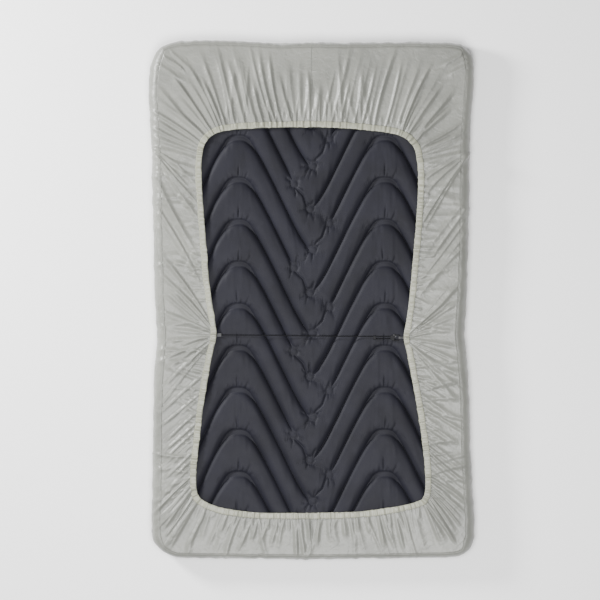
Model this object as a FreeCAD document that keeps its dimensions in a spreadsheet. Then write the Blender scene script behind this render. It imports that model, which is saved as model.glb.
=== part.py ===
"""A double sleeping pad in its fitted sheet, lying on its sleeping face with the underside up.

X runs across the pad, Y towards the head, Z up. The origin is on the ground under the middle.
"""
import FreeCAD, Part

import math
import os

import Sketcher
from FreeCAD import Placement, Rotation, Vector

os.makedirs("parts", exist_ok=True)
doc = FreeCAD.newDocument("SleepingPad")

# ---------------------------------------------------------------- driving dimensions, millimetres
DIMENSIONS = {
    "sheet_width": 1180, "sheet_length": 1890, "sheet_corner": 95, "edge_turn": 34,
    "edge_bevel": 22, "cloth": 0.8, "slack": 0.3,
    "pad_height": 79, "weld_width": 8, "weld_thickness": 1.2, "pad_edge_gap": 0.5,
    "pad_bevel": 21.5, "pad_corner": 92, "valve_corner": 160,
    "rim_wall": 30, "underside_wall": 24, "sleep_wall": 8,
    "row_pitch": 152.7, "first_row": 740.4, "arch_across": 266, "arch_radius": 50,
    "leg_angle": 27.8, "arch_weld": 22, "leg_weld": 8, "channel_depth": 20,
    "outer_leg": 480, "short_leg": 64, "long_leg": 6, "spot_diameter": 27, "side_rail": 45,
    "hem_head": 626, "hem_foot": 775, "hem_head_width": 389, "hem_foot_width": 415,
    "hem_waist": 342, "waist_back": 134,
    "casing_width": 14, "casing_height": 4, "elastic_width": 10, "elastic_thickness": 1.6,
    "seam_width": 3, "seam_height": 0.9,
    "cord_diameter": 3, "cord_height": 83.6, "cord_left_back": 128, "hook_back": 138,
    "hook_across": 293, "post_radius": 2.6, "crimp_across": 230, "crimp_length": 9,
    "crimp_radius": 2.5, "tab_tape": 1.2, "tab_length": 15, "tab_width": 12, "tab_stitching": 3.2,
    "hook_thickness": 6.4, "clevis_gap": 3.6, "bow_diameter": 4.6, "bow_radius": 9.5,
    "bow_middle": 20, "nose_angle": 80, "gate_thickness": 3.4, "gate_length": 13.6,
    "gate_across": 7.6, "gate_side": 9.2, "gate_width": 4.6, "gate_tip": 2, "gate_taper": 0.8,
    "knuckle_radius": 2.5, "knuckle_room": 4.2, "thumb_groove": 0.7,
    "pin_diameter": 2, "spring_thickness": 0.5, "tape_thickness": 0.8, "loop_width": 8,
    "pipe_radius": 8, "pipe_bore": 5.5, "pipe_length": 22,
    "boat_length": 60, "boat_thickness": 18, "boat_height": 10,
    "chamber_radius": 12, "chamber_bore": 9.5, "chamber_height": 22, "chamber_floor": 3,
    "groove_bottom": 14, "groove_height": 1.4, "groove_depth": 1,
    "seal_bottom": 18, "seal_height": 2,
    "knob_radius": 16, "knob_bottom": 12, "knob_height": 22, "knob_roof": 3.5, "knob_bevel": 1.6,
    "boss_wall": 2.6, "boss_bottom": 24.5, "flute_radius": 3.2, "flutes": 8, "air_holes": 4,
    "air_hole": 4, "screw_radius": 4, "screw_length": 33, "stopper_radius": 4.9, "stopper_length": 2.5,
    "stopper_groove": 0.8, "disc_bottom": 6.8, "disc_top": 9, "key_width": 2, "key_depth": 1.2,
}

sheet = doc.addObject("Spreadsheet::Sheet", "Sizes")
for row, (alias, number) in enumerate(DIMENSIONS.items(), start=1):
    sheet.set(f"A{row}", alias)
    sheet.set(f"B{row}", str(number))
    sheet.setAlias(f"B{row}", alias)
doc.recompute()


class Size:
    """A number worked out from the sheet's cells, with the expression that keeps it tied to them."""

    def __init__(self, value, text):
        self.value, self.text = float(value), text

    def combine(self, other, sign, result):
        other = as_size(other)
        return Size(result(self.value, other.value), f"({self.text} {sign} {other.text})")

    def __add__(self, other):
        return self.combine(other, "+", lambda a, b: a + b)

    def __sub__(self, other):
        return self.combine(other, "-", lambda a, b: a - b)

    def __mul__(self, other):
        return self.combine(other, "*", lambda a, b: a * b)

    def __truediv__(self, other):
        return self.combine(other, "/", lambda a, b: a / b)

    def __radd__(self, other):
        return as_size(other) + self

    def __rsub__(self, other):
        return as_size(other) - self

    def __neg__(self):
        return Size(-self.value, f"(0 - {self.text})")


def as_size(number):
    return number if isinstance(number, Size) else Size(number, repr(float(number)))


def size(alias):
    return Size(sheet.get(alias), f"Sizes.{alias}")


def mm(alias):
    return size(alias).value


# ---------------------------------------------------------------- helpers for bodies and sketches
sub_parts = []


def sub_part(item, label):
    item.Label = label
    sub_parts.append(item)
    return item


def new_body(label, place=None):
    body = sub_part(doc.addObject("PartDesign::Body", label), label)
    body.Placement = place or Placement()
    return body


def new_sketch(body, name, role="XY_Plane", height=0):
    sketch = body.newObject("Sketcher::SketchObject", name)
    origin_plane = next(f for f in body.Origin.OriginFeatures if f.Role == role)
    sketch.AttachmentSupport = (origin_plane, [""])
    sketch.MapMode = "FlatFace"
    sketch.AttachmentOffset = Placement(Vector(0, 0, as_size(height).value), Rotation())
    sketch.setExpression("AttachmentOffset.Base.z", as_size(height).text)
    return sketch


def constrain(sketch, kind, *where):
    """A constraint; when the last argument is a Size, it stays tied to the sheet."""
    bound = isinstance(where[-1], Size)
    values = [*where[:-1], where[-1].value] if bound else list(where)
    index = sketch.addConstraint(Sketcher.Constraint(kind, *values))
    if bound:
        sketch.setExpression(f"Constraints[{index}]", where[-1].text)


def polygon(sketch, corners):
    """A closed outline of straight sides, each corner tied by its two distances from the origin."""
    corners = [(as_size(x), as_size(y)) for x, y in corners]
    points = [Vector(x.value, y.value, 0) for x, y in corners]
    first = sketch.GeometryCount
    for i, point in enumerate(points):
        sketch.addGeometry(Part.LineSegment(point, points[(i + 1) % len(points)]))
    for i, (x, y) in enumerate(corners):
        following = first + (i + 1) % len(corners)
        constrain(sketch, "Coincident", first + i, 2, following, 1)
        for kind, distance, axis in (("DistanceX", x, -2), ("DistanceY", y, -1)):
            if distance.value:
                constrain(sketch, kind, first + i, 1, distance)
            else:
                constrain(sketch, "PointOnObject", first + i, 1, axis)


def circle(sketch, radius, x=0, y=0):
    x, y, radius = as_size(x), as_size(y), as_size(radius)
    index = sketch.addGeometry(Part.Circle(Vector(x.value, y.value, 0), Vector(0, 0, 1), radius.value))
    constrain(sketch, "Radius", index, radius)
    for kind, distance, axis in (("DistanceX", x, -2), ("DistanceY", y, -1)):
        if distance.value:
            constrain(sketch, kind, index, 3, distance)
        else:
            constrain(sketch, "PointOnObject", index, 3, axis)


def rounded_rectangle(sketch, width, length, corners):
    """A rectangle about the origin; its corner radii start at +X +Y and go anticlockwise."""
    across, along = width / 2, length / 2
    arcs, signs = [], [(1, 1), (-1, 1), (-1, -1), (1, -1)]
    for i, (sx, sy) in enumerate(signs):
        radius = corners[i].value
        centre = Vector(sx * (across.value - radius), sy * (along.value - radius), 0)
        ring = Part.Circle(centre, Vector(0, 0, 1), radius)
        arcs.append(Part.ArcOfCircle(ring, i * math.pi / 2, (i + 1) * math.pi / 2))
    for arc in arcs:
        sketch.addGeometry(arc)
    for i, arc in enumerate(arcs):
        sketch.addGeometry(Part.LineSegment(arc.EndPoint, arcs[(i + 1) % 4].StartPoint))
    for i, radius in enumerate(corners):
        constrain(sketch, "Tangent", i, 2, 4 + i, 1)
        constrain(sketch, "Tangent", 4 + i, 2, (i + 1) % 4, 1)
        constrain(sketch, "Radius", i, radius)
    constrain(sketch, "DistanceY", 4, 1, along)
    constrain(sketch, "DistanceX", 5, 1, -across)
    constrain(sketch, "DistanceY", 6, 1, -along)
    constrain(sketch, "DistanceX", 7, 1, across)


def feature(body, kind, name, **settings):
    """A PartDesign feature; Size settings stay tied to the sheet."""
    made = body.newObject(f"PartDesign::{kind}", name)
    for key, value in settings.items():
        setattr(made, key, value.value if isinstance(value, Size) else value)
        if isinstance(value, Size):
            made.setExpression(key, value.text)
    body.Tip = made
    doc.recompute()
    return made


def revolve(body, name, sketch, kind="Revolution"):
    return feature(body, kind, name, Profile=sketch, ReferenceAxis=(sketch, ["V_Axis"]), Angle=360)


def pocket(body, name, sketch, depth, towards_plus=False):
    """A pocket of a stated depth, against or along the sketch's normal, that has to remove something."""
    before = body.Shape.Volume
    cut = feature(body, "Pocket", name, Profile=sketch, Length=as_size(depth), Reversed=towards_plus)
    if body.Shape.Volume >= before - 1e-6:
        raise RuntimeError(f"{name} cuts nothing")
    return cut


def around(body, name, originals, count):
    """Copies of features spaced evenly round the body's Z axis."""
    axis = next(f for f in body.Origin.OriginFeatures if f.Role == "Z_Axis")
    return feature(body, "PolarPattern", name, Originals=originals, Axis=(axis, [""]), Angle=360,
                   Occurrences=count)


def edges_where(shape, test):
    return [f"Edge{i}" for i, edge in enumerate(shape.Edges, start=1) if test(edge)]


def bevel_edges(body, name, width, test):
    names = edges_where(body.Tip.Shape, test)
    if not names:
        raise RuntimeError(f"{name} finds no edge")
    return feature(body, "Chamfer", name, Base=(body.Tip, names), Size=width)


def at_height(z):
    """A test for the edges that lie level at height z, in the body's own frame."""
    def level(edge):
        heights = [vertex.Z for vertex in edge.Vertexes] + [edge.CenterOfMass.z]
        return all(abs(height - z) < 1e-6 for height in heights)
    return level


def solid_part(label, shape):
    item = sub_part(doc.addObject("Part::Feature", label), label)
    item.Shape = shape
    return item


def slab(face, bottom, top):
    lifted = face.copy()
    lifted.translate(Vector(0, 0, bottom))
    return lifted.extrude(Vector(0, 0, top - bottom))


def half_space(side):
    """A block that holds everything on one side of the pad's middle line."""
    reach = mm("sheet_length")
    return Part.makeBox(reach, 2 * reach, reach, Vector(0 if side > 0 else -reach, -reach, -reach / 2))


# ---------------------------------------------------------------- heights and places
cloth, slack = mm("cloth"), mm("slack")
pad_bottom = cloth + 0.2
pad_middle = pad_bottom + mm("pad_height") / 2
pad_top = pad_bottom + mm("pad_height")
skirt_bottom = pad_top + slack
skirt_top = skirt_bottom + cloth
weld_width = size("sheet_width") - (size("cloth") + size("pad_edge_gap")) * 2
weld_length = size("sheet_length") - (size("cloth") + size("pad_edge_gap")) * 2
pad_width = weld_width - size("weld_width") * 2
pad_length = weld_length - size("weld_width") * 2
pad_corners = [size("valve_corner"), size("pad_corner"), size("pad_corner"), size("pad_corner")]

# The valve leaves the pad's +X +Y corner along the corner's diagonal, at mid-height. Its own Z axis
# points outwards and its X axis points down.
diagonal = (pad_width.value + pad_length.value) / 2 / math.sqrt(2)
valve_out = diagonal - mm("valve_corner") * (math.sqrt(2) - 1)
corner_step = (pad_length.value - pad_width.value) / 2 / math.sqrt(2)
out_way = Vector(1, 1, 0) / math.sqrt(2)
side_way = Vector(-1, 1, 0) / math.sqrt(2)
valve_place = Placement(
    out_way * valve_out + side_way * corner_step + Vector(0, 0, pad_middle),
    Rotation(Vector(0, 0, 1), 45) * Rotation(Vector(0, 1, 0), 90),
)
hook_place = Placement(Vector(mm("hook_across"), -mm("hook_back"), mm("cord_height")), Rotation())


# ---------------------------------------------------------------- valve
def make_valve_body():
    """The fitment welded into the pad's edge: air pipe, boat, and a chamber with two grooves."""
    body = new_body("valve_body", valve_place)
    bore, pipe, pipe_end = size("pipe_bore"), size("pipe_radius"), -size("pipe_length")
    inner, outer, top = size("chamber_bore"), size("chamber_radius"), size("chamber_height")
    floor = size("chamber_floor")
    corners = [(bore, pipe_end), (pipe, pipe_end), (pipe, 0), (outer, 0)]
    for start, height in (("groove_bottom", "groove_height"), ("seal_bottom", "seal_height")):
        low, high = size(start), size(start) + size(height)
        depth = size("groove_depth")
        corners += [(outer, low), (outer - depth, low), (outer - depth, high), (outer, high)]
    corners += [(outer, top), (inner, top), (inner, floor), (bore, floor)]
    profile = new_sketch(body, "ValveBodyProfile", "XZ_Plane")
    polygon(profile, corners)
    revolve(body, "ValveBodyTurned", profile)

    boat = new_sketch(body, "BoatOutline", "XY_Plane", -slack)
    half_long, half_thick = mm("boat_length") / 2, mm("boat_thickness") / 2
    tips = [Vector(0, -half_long, 0), Vector(0, half_long, 0)]
    for side in (1, -1):
        boat.addGeometry(Part.Arc(tips[0], Vector(side * half_thick, 0, 0), tips[1]))
    circle(boat, bore)
    feature(body, "Pad", "Boat", Profile=boat, Length=size("boat_height"), Reversed=True)

    half_key = size("key_width") / 2
    key_outline = new_sketch(body, "KeyOutline", "XY_Plane", size("disc_bottom"))
    key_tip, key_root = inner - size("key_depth"), inner + 0.5
    polygon(key_outline, [(key_tip, -half_key), (key_root, -half_key), (key_root, half_key),
                          (key_tip, half_key)])
    key = feature(body, "Pad", "Key", Profile=key_outline, Length=top - size("disc_bottom") - 2)
    around(body, "Keys", [key], 2)


def make_valve_plunger():
    """A stopper with a seal groove, a guide disc with keyways and air ports, and a screw."""
    body = new_body("valve_plunger", valve_place)
    screw, inner, end = size("screw_radius"), size("chamber_bore"), size("screw_length")
    stopper, half_groove = size("stopper_radius"), size("stopper_groove")
    disc = inner - slack
    low, high = size("disc_bottom"), size("disc_top")
    profile = new_sketch(body, "PlungerProfile", "XZ_Plane")
    polygon(profile, [
        (0, -size("stopper_length")), (stopper, -size("stopper_length")), (stopper, -half_groove),
        (stopper - 0.9, -half_groove), (stopper - 0.9, half_groove), (stopper, half_groove),
        (stopper, low), (disc, low), (disc, high), (screw, high), (screw, end), (0, end),
    ])
    revolve(body, "PlungerTurned", profile)
    half_notch = size("key_width") / 2 + 0.15
    near, far = inner - size("key_depth") - 0.25, inner + 1
    notch_outline = new_sketch(body, "KeywayOutline", "XY_Plane", high + 1)
    polygon(notch_outline, [(near, -half_notch), (far, -half_notch), (far, half_notch), (near, half_notch)])
    keyway = pocket(body, "Keyway", notch_outline, high)
    around(body, "Keyways", [keyway], 2)
    port_outline = new_sketch(body, "PortOutline", "XY_Plane", high + 1)
    port_place = (screw + disc) * 0.4
    circle(port_outline, size("air_hole") / 2, port_place, port_place)
    port = pocket(body, "Port", port_outline, high - low + 2)
    around(body, "Ports", [port], int(mm("air_holes")))


def make_valve_knob():
    """A fluted cap that turns on the chamber; its boss drives the plunger's screw."""
    body = new_body("valve_knob", valve_place)
    outer, inner = size("knob_radius"), size("chamber_radius") + slack
    bottom, top = size("knob_bottom"), size("knob_bottom") + size("knob_height")
    bore, roof, bevel = size("screw_radius") + 0.1, top - size("knob_roof"), size("knob_bevel")
    boss, boss_bottom = bore + size("boss_wall"), size("boss_bottom")
    low, high = size("groove_bottom"), size("groove_bottom") + size("groove_height")
    profile = new_sketch(body, "KnobProfile", "XZ_Plane")
    polygon(profile, [
        (inner, bottom), (outer, bottom), (outer, top - bevel), (outer - bevel, top), (bore, top),
        (bore, boss_bottom), (boss, boss_bottom), (boss, roof), (inner, roof), (inner, high),
        (inner + 0.9, high), (inner + 0.9, low), (inner, low),
    ])
    revolve(body, "KnobTurned", profile)
    flute_outline = new_sketch(body, "FluteOutline", "XY_Plane", bottom - 1)
    circle(flute_outline, size("flute_radius"), outer + bevel, 0)
    flute = pocket(body, "Flute", flute_outline, size("knob_height") - bevel, towards_plus=True)
    around(body, "Flutes", [flute], int(mm("flutes")))
    hole_outline = new_sketch(body, "AirHoleOutline", "XY_Plane", top + 1)
    circle(hole_outline, size("air_hole") / 2, (boss + inner) / 2, 0)
    hole = pocket(body, "AirHole", hole_outline, size("knob_roof") + 2)
    around(body, "AirHoles", [hole], int(mm("air_holes")))


def square_ring(label, inner, outer, low, high):
    """A ring of square section round the valve's axis."""
    body = new_body(label, valve_place)
    profile = new_sketch(body, label + "_profile", "XZ_Plane")
    polygon(profile, [(inner, low), (outer, low), (outer, high), (inner, high)])
    revolve(body, label + "_turned", profile)
    return body


def make_valve_rings():
    """Two lathe-cut rubber seals in their grooves, and the split ring that holds the knob."""
    stopper, outer = size("stopper_radius"), size("chamber_radius")
    half_seal = size("stopper_groove") * 0.9
    square_ring("plunger_seal", stopper - 0.85, stopper + 0.45, -half_seal, half_seal)
    seal_top = size("seal_bottom") + size("seal_height")
    square_ring("body_seal", outer - 0.95, outer + slack - 0.05, size("seal_bottom") + 0.1, seal_top - 0.1)
    inner, low = outer - size("groove_depth") + 0.1, size("groove_bottom") + 0.15
    high = low + size("groove_height") - 0.3
    body = square_ring("knob_snap_ring", inner, inner + 1.9, low, high)
    split = new_sketch(body, "SnapRingSplit", "XY_Plane", high + 1)
    half_split = 1.5
    polygon(split, [(inner - 2, -half_split), (inner + 3, -half_split), (inner + 3, half_split),
                    (inner - 2, half_split)])
    pocket(body, "SnapRingGap", split, size("groove_height") + 2)


# ---------------------------------------------------------------- pad
def valve_seat_space():
    """The room that the valve's boat and pipe take out of the pad's edge."""
    half_long, half_thick = mm("boat_length") / 2 + slack, mm("boat_thickness") / 2 + 0.8
    tips = [Vector(0, -half_long, 0), Vector(0, half_long, 0)]
    sides = [Part.Arc(tips[0], Vector(side * half_thick, 0, 0), tips[1]).toShape() for side in (1, -1)]
    boat = slab(Part.Face(Part.Wire(sides)), -mm("boat_height") - 1, 20)
    pipe = Part.makeCylinder(mm("pipe_radius") + slack, 60, Vector(0, 0, -60))
    space = boat.fuse(pipe)
    space.Placement = valve_place
    return space


def chevron(apex, inner_side, inner_reach, outer_reach):
    """One arch of weld: a crescent at its apex and two legs that narrow towards their ends.

    Each leg stops at a distance across from the pad's middle line.
    """
    angle = math.radians(mm("leg_angle"))
    radius, wide, narrow = mm("arch_radius"), mm("arch_weld") / 2, mm("leg_weld") / 2
    centre = apex - Vector(0, radius, 0)
    contours = []
    for sign in (1, -1):
        apex_radius = radius + sign * wide
        top = centre + Vector(0, apex_radius, 0)
        points = {}
        for side, reach in ((inner_side, inner_reach), (-inner_side, outer_reach)):
            normal = Vector(side * math.cos(angle), math.sin(angle), 0)
            along = Vector(side * math.sin(angle), -math.cos(angle), 0)
            run = (abs(reach - apex.x) - radius * math.cos(angle)) / math.sin(angle)
            points[side] = (centre + normal * apex_radius,
                            centre + normal * (radius + sign * narrow) + along * run)
        contours.append((points[-1][1], points[-1][0], top, points[1][0], points[1][1]))
    upper, lower = contours
    edges = []
    for end, start, top, finish, far in (upper, lower):
        edges += [Part.LineSegment(end, start), Part.Arc(start, top, finish), Part.LineSegment(finish, far)]
    edges += [Part.LineSegment(upper[0], lower[0]), Part.LineSegment(upper[4], lower[4])]
    outline = Part.Wire(Part.__sortEdges__([edge.toShape() for edge in edges]))
    return Part.Face(outline)


def weld_channels():
    """The V-shaped rows of both columns, with an eight-sided weld spot where each inner leg ends."""
    channels = []
    eighths = [math.radians(22.5 + 45 * i) for i in range(9)]
    spot = [Vector(math.cos(turn), math.sin(turn), 0) * mm("spot_diameter") / 2 for turn in eighths]
    row_of_apex = mm("first_row")
    row = 0
    while row_of_apex > -mm("sheet_length") / 2:
        for side in (1, -1):
            apex = Vector(side * mm("arch_across"), row_of_apex, 0)
            long_row = (row % 2 == 0) == (side > 0)
            inner = -mm("long_leg") * side if long_row else mm("short_leg") * side
            channels.append(chevron(apex, -side, inner, side * mm("outer_leg")))
            past_arch = abs(inner - apex.x) - mm("arch_radius") * 0.55
            middle = Vector(inner, row_of_apex - past_arch / math.tan(math.radians(mm("leg_angle"))), 0)
            channels.append(Part.Face(Part.makePolygon([middle + corner for corner in spot])))
        row_of_apex -= mm("row_pitch")
        row += 1
    solids = [slab(face, pad_top - mm("channel_depth"), pad_top + 1) for face in channels]
    return solids[0].multiFuse(solids[1:])


def make_pad_half(name, bottom, wall, cavity_at_bottom):
    """Half of the pad as a PartDesign body: a slab with a bevelled outer edge and an air space."""
    body = doc.addObject("PartDesign::Body", name)
    half = size("pad_height") / 2
    body.Placement = Placement(Vector(0, 0, bottom), Rotation())
    outline = new_sketch(body, name + "Outline")
    rounded_rectangle(outline, pad_width, pad_length, pad_corners)
    feature(body, "Pad", name + "Slab", Profile=outline, Length=half)
    bevel_edges(body, name + "Edge", size("pad_bevel"), at_height(half.value if cavity_at_bottom else 0))
    rim = size("rim_wall")
    space = new_sketch(body, name + "AirOutline", "XY_Plane", 0 if cavity_at_bottom else half)
    corners = [corner - rim for corner in pad_corners]
    rounded_rectangle(space, pad_width - rim * 2, pad_length - rim * 2, corners)
    pocket(body, name + "Air", space, half - wall, towards_plus=cavity_at_bottom)
    return body


def make_pad():
    underside = make_pad_half("UndersideBlank", pad_middle, size("underside_wall"), True)
    sleeping = make_pad_half("SleepBlank", pad_bottom, size("sleep_wall"), False)
    rail = size("side_rail")
    inside = doc.addObject("PartDesign::Body", "RailLimit")
    limit = new_sketch(inside, "RailOutline", "XY_Plane", size("pad_height") / 2)
    rounded_rectangle(limit, pad_width - rail * 2, pad_length - rail * 2,
                      [corner - rail for corner in pad_corners])
    feature(inside, "Pad", "RailSlab", Profile=limit, Length=size("pad_height"))
    welds = doc.addObject("Part::Feature", "WeldChannels")
    welds.Shape = weld_channels().common(inside.Shape)
    if not welds.Shape.Solids:
        raise RuntimeError("the weld channels are empty")
    seat = doc.addObject("Part::Feature", "ValveSeatSpace")
    seat.Shape = valve_seat_space()
    channelled = doc.addObject("Part::Cut", "ChannelledUnderside")
    channelled.Base, channelled.Tool = underside, welds
    for label, blank in (("pad_underside_panel", channelled), ("pad_sleep_panel", sleeping)):
        panel = sub_part(doc.addObject("Part::Cut", label), label)
        panel.Base, panel.Tool = blank, seat

    flange = doc.addObject("PartDesign::Body", "FlangeBlank")
    flange.Placement = Placement(Vector(0, 0, pad_middle - mm("weld_thickness") / 2), Rotation())
    rim = new_sketch(flange, "FlangeOutline")
    rounded_rectangle(rim, weld_width, weld_length,
                      [corner + size("weld_width") for corner in pad_corners])
    mouth = new_sketch(flange, "FlangeInside")
    rounded_rectangle(mouth, pad_width, pad_length, pad_corners)
    feature(flange, "Pad", "FlangeSlab", Profile=rim, Length=size("weld_thickness"))
    pocket(flange, "FlangeHole", mouth, size("weld_thickness"), towards_plus=True)
    weld = sub_part(doc.addObject("Part::Cut", "perimeter_weld"), "perimeter_weld")
    weld.Base, weld.Tool = flange, seat
    doc.recompute()


# ---------------------------------------------------------------- fitted sheet
def hem_outline():
    """The sheet's mouth: arcs pulled in to a point on each side by the cross cord."""
    head, foot, waist = mm("hem_head"), -mm("hem_foot"), mm("hem_waist")
    head_side, foot_side = mm("hem_head_width"), mm("hem_foot_width")
    back = -mm("waist_back")
    right = [  # a point on each arc, and its end
        (Vector(0.5 * head_side, head - 6, 0), Vector(0.78 * head_side, head - 23, 0)),
        (Vector(0.94 * head_side, head - 60, 0), Vector(head_side, head - 122, 0)),
        (Vector(0.968 * head_side, 0.35 * head, 0), Vector(waist, back, 0)),
        (Vector(0.92 * foot_side, 0.52 * foot, 0), Vector(foot_side, foot + 130, 0)),
        (Vector(0.965 * foot_side, foot + 58, 0), Vector(0.8 * foot_side, foot + 27, 0)),
        (Vector(0.48 * foot_side, foot + 7, 0), Vector(0, foot, 0)),
    ]
    edges, start = [], Vector(0, head, 0)
    for through, end in right:
        edges.append(Part.Arc(start, through, end).toShape())
        start = end
    mirrored = [edge.mirror(Vector(0, 0, 0), Vector(1, 0, 0)) for edge in edges]
    return Part.Wire(Part.__sortEdges__(edges + mirrored))


def widened(wire, distance):
    return wire.makeOffset2D(distance, 0, False, False, False) if distance else wire


def band(wire, near, far):
    """The flat band between two distances outside a closed wire."""
    return Part.Face(widened(wire, far)).cut(Part.Face(widened(wire, near)))


def inset_outline(inset):
    """The sheet's own outline, moved inwards."""
    across, along = mm("sheet_width") / 2 - inset, mm("sheet_length") / 2 - inset
    radius = mm("sheet_corner") - inset
    arcs = []
    for i, (sx, sy) in enumerate([(1, 1), (-1, 1), (-1, -1), (1, -1)]):
        middle = Vector(sx * (across - radius), sy * (along - radius), 0)
        ring = Part.Circle(middle, Vector(0, 0, 1), radius)
        arcs.append(Part.ArcOfCircle(ring, i * math.pi / 2, (i + 1) * math.pi / 2))
    sides = [Part.LineSegment(arc.EndPoint, arcs[(i + 1) % 4].StartPoint) for i, arc in enumerate(arcs)]
    return Part.Wire(Part.__sortEdges__([edge.toShape() for edge in arcs + sides]))


def sheet_block(name, bottom, top, inset, bevel):
    """A block of the sheet's outline moved inwards, its level edges bevelled where a width is given."""
    bottom, top = as_size(bottom), as_size(top)
    body = doc.addObject("PartDesign::Body", name)
    body.Placement = Placement(Vector(0, 0, bottom.value), Rotation())
    outline = new_sketch(body, name + "Outline")
    rounded_rectangle(outline, size("sheet_width") - inset * 2, size("sheet_length") - inset * 2,
                      [size("sheet_corner") - inset] * 4)
    feature(body, "Pad", name + "Slab", Profile=outline, Length=top - bottom)
    if bevel:
        level = (0, (top - bottom).value)
        bevel_edges(body, name + "Bevel", bevel, lambda edge: any(at_height(z)(edge) for z in level))
    return body


def make_sheet():
    sleeping = new_body("sheet_sleep_panel")
    outline = new_sketch(sleeping, "SleepOutline")
    inset = size("edge_turn")
    rounded_rectangle(outline, size("sheet_width") - inset * 2, size("sheet_length") - inset * 2,
                      [size("sheet_corner") - inset] * 4)
    feature(sleeping, "Pad", "SleepCloth", Profile=outline, Length=size("cloth"))

    hollow = doc.addObject("Part::MultiFuse", "GussetHollow")
    room_bevel = size("edge_bevel") - size("cloth") * (2 - math.sqrt(2))
    hollow.Shapes = [
        sheet_block("PadRoom", size("cloth"), skirt_bottom, size("cloth"), room_bevel),
        sheet_block("MouthRoom", -1, skirt_top + 1, size("edge_turn"), None),
    ]
    gusset = sub_part(doc.addObject("Part::Cut", "sheet_gusset"), "sheet_gusset")
    gusset.Base = sheet_block("GussetBlock", 0, skirt_top, as_size(0), size("edge_bevel"))
    gusset.Tool = hollow

    hem = hem_outline()
    casing, height = mm("casing_width"), mm("casing_height")
    seam_line = inset_outline(mm("edge_turn"))
    skirt = Part.Face(seam_line).cut(Part.Face(widened(hem, casing)))
    tunnel = slab(band(hem, cloth, casing - cloth), skirt_top, skirt_top + height - 2 * cloth)
    casing_ring = slab(band(hem, 0, casing), skirt_bottom, skirt_bottom + height).cut(tunnel)
    for name, side in (("left", -1), ("right", 1)):
        solid_part(f"skirt_{name}", slab(skirt, skirt_bottom, skirt_top).common(half_space(side)))
        solid_part(f"hem_casing_{name}", casing_ring.common(half_space(side)))
    spare = (casing - mm("elastic_width")) / 2
    elastic_bottom = skirt_top + 0.4
    solid_part("hem_elastic", slab(band(hem, spare, casing - spare), elastic_bottom,
                                   elastic_bottom + mm("elastic_thickness")))
    seam = mm("seam_width") / 2
    near, far = inset_outline(mm("edge_turn") - seam), inset_outline(mm("edge_turn") + seam)
    ridge = Part.Face(near).cut(Part.Face(far))
    solid_part("skirt_edge_seam", slab(ridge, skirt_top, skirt_top + mm("seam_height")))
    edge = mm("sheet_length") / 2 - mm("edge_turn") - seam
    for name, start, end in (("skirt_head_seam", mm("hem_head") + casing + 1, edge - slack),
                             ("skirt_foot_seam", slack - edge, -mm("hem_foot") - casing - 1)):
        strip = sub_part(doc.addObject("Part::Box", name), name)
        strip.Length, strip.Width, strip.Height = 2 * seam, end - start, mm("seam_height")
        strip.setExpression("Length", "Sizes.seam_width")
        strip.setExpression("Height", "Sizes.seam_height")
        strip.Placement = Placement(Vector(-seam, start, skirt_top), Rotation())


# ---------------------------------------------------------------- cross cord
strand = mm("post_radius") + mm("cord_diameter") / 2 + 0.2


def gentle_turn(before, corner, after, trim):
    """The arc that replaces a corner of the cord's route, tangent to both of its runs."""
    start = corner + (before - corner).normalize() * trim
    end = corner + (after - corner).normalize() * trim
    inward = ((start + end) / 2 - corner).normalize()
    half_turn = (corner - before).getAngle(after - corner) / 2
    radius = trim / math.tan(half_turn)
    print(f"cross cord: turn radius {radius:.0f}")
    return Part.Arc(start, corner + inward * radius * (1 / math.cos(half_turn) - 1), end)


def make_cord():
    """The cord runs from the left tab to the hook, round its post and back to the crimp."""
    level, post = mm("cord_height"), Vector(mm("hook_across"), -mm("hook_back"), mm("cord_height"))
    start = Vector(-mm("hem_waist") + 5, -mm("cord_left_back"), level)
    near, far = post + Vector(0, strand, 0), post - Vector(0, strand, 0)
    corner = Vector(mm("crimp_across") - 50, near.y, level)
    end = Vector(mm("crimp_across") - mm("crimp_length") / 2, far.y, level)
    turn = gentle_turn(start, corner, near, 40)
    runs = [Part.LineSegment(start, turn.StartPoint), turn, Part.LineSegment(turn.EndPoint, near),
            Part.Arc(near, post + Vector(strand, 0, 0), far), Part.LineSegment(far, end)]
    path = Part.Wire([run.toShape() for run in runs])
    across, up = Vector(0, 0, 1).cross(corner - start).normalize(), Vector(0, 0, 1)
    eighths = [math.radians(22.5 + 45 * i) for i in range(9)]
    ring = [(across * math.cos(turn) + up * math.sin(turn)) * mm("cord_diameter") / 2 for turn in eighths]
    section = Part.makePolygon([start + point for point in ring])
    cord = path.makePipeShell([section], True, False)
    expected = Part.Face(section).Area * path.Length
    fullness = cord.Volume / expected
    print(f"cross cord: length {path.Length:.1f}, volume over section times length {fullness:.4f}")
    solid_part("cross_cord", cord)


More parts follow.
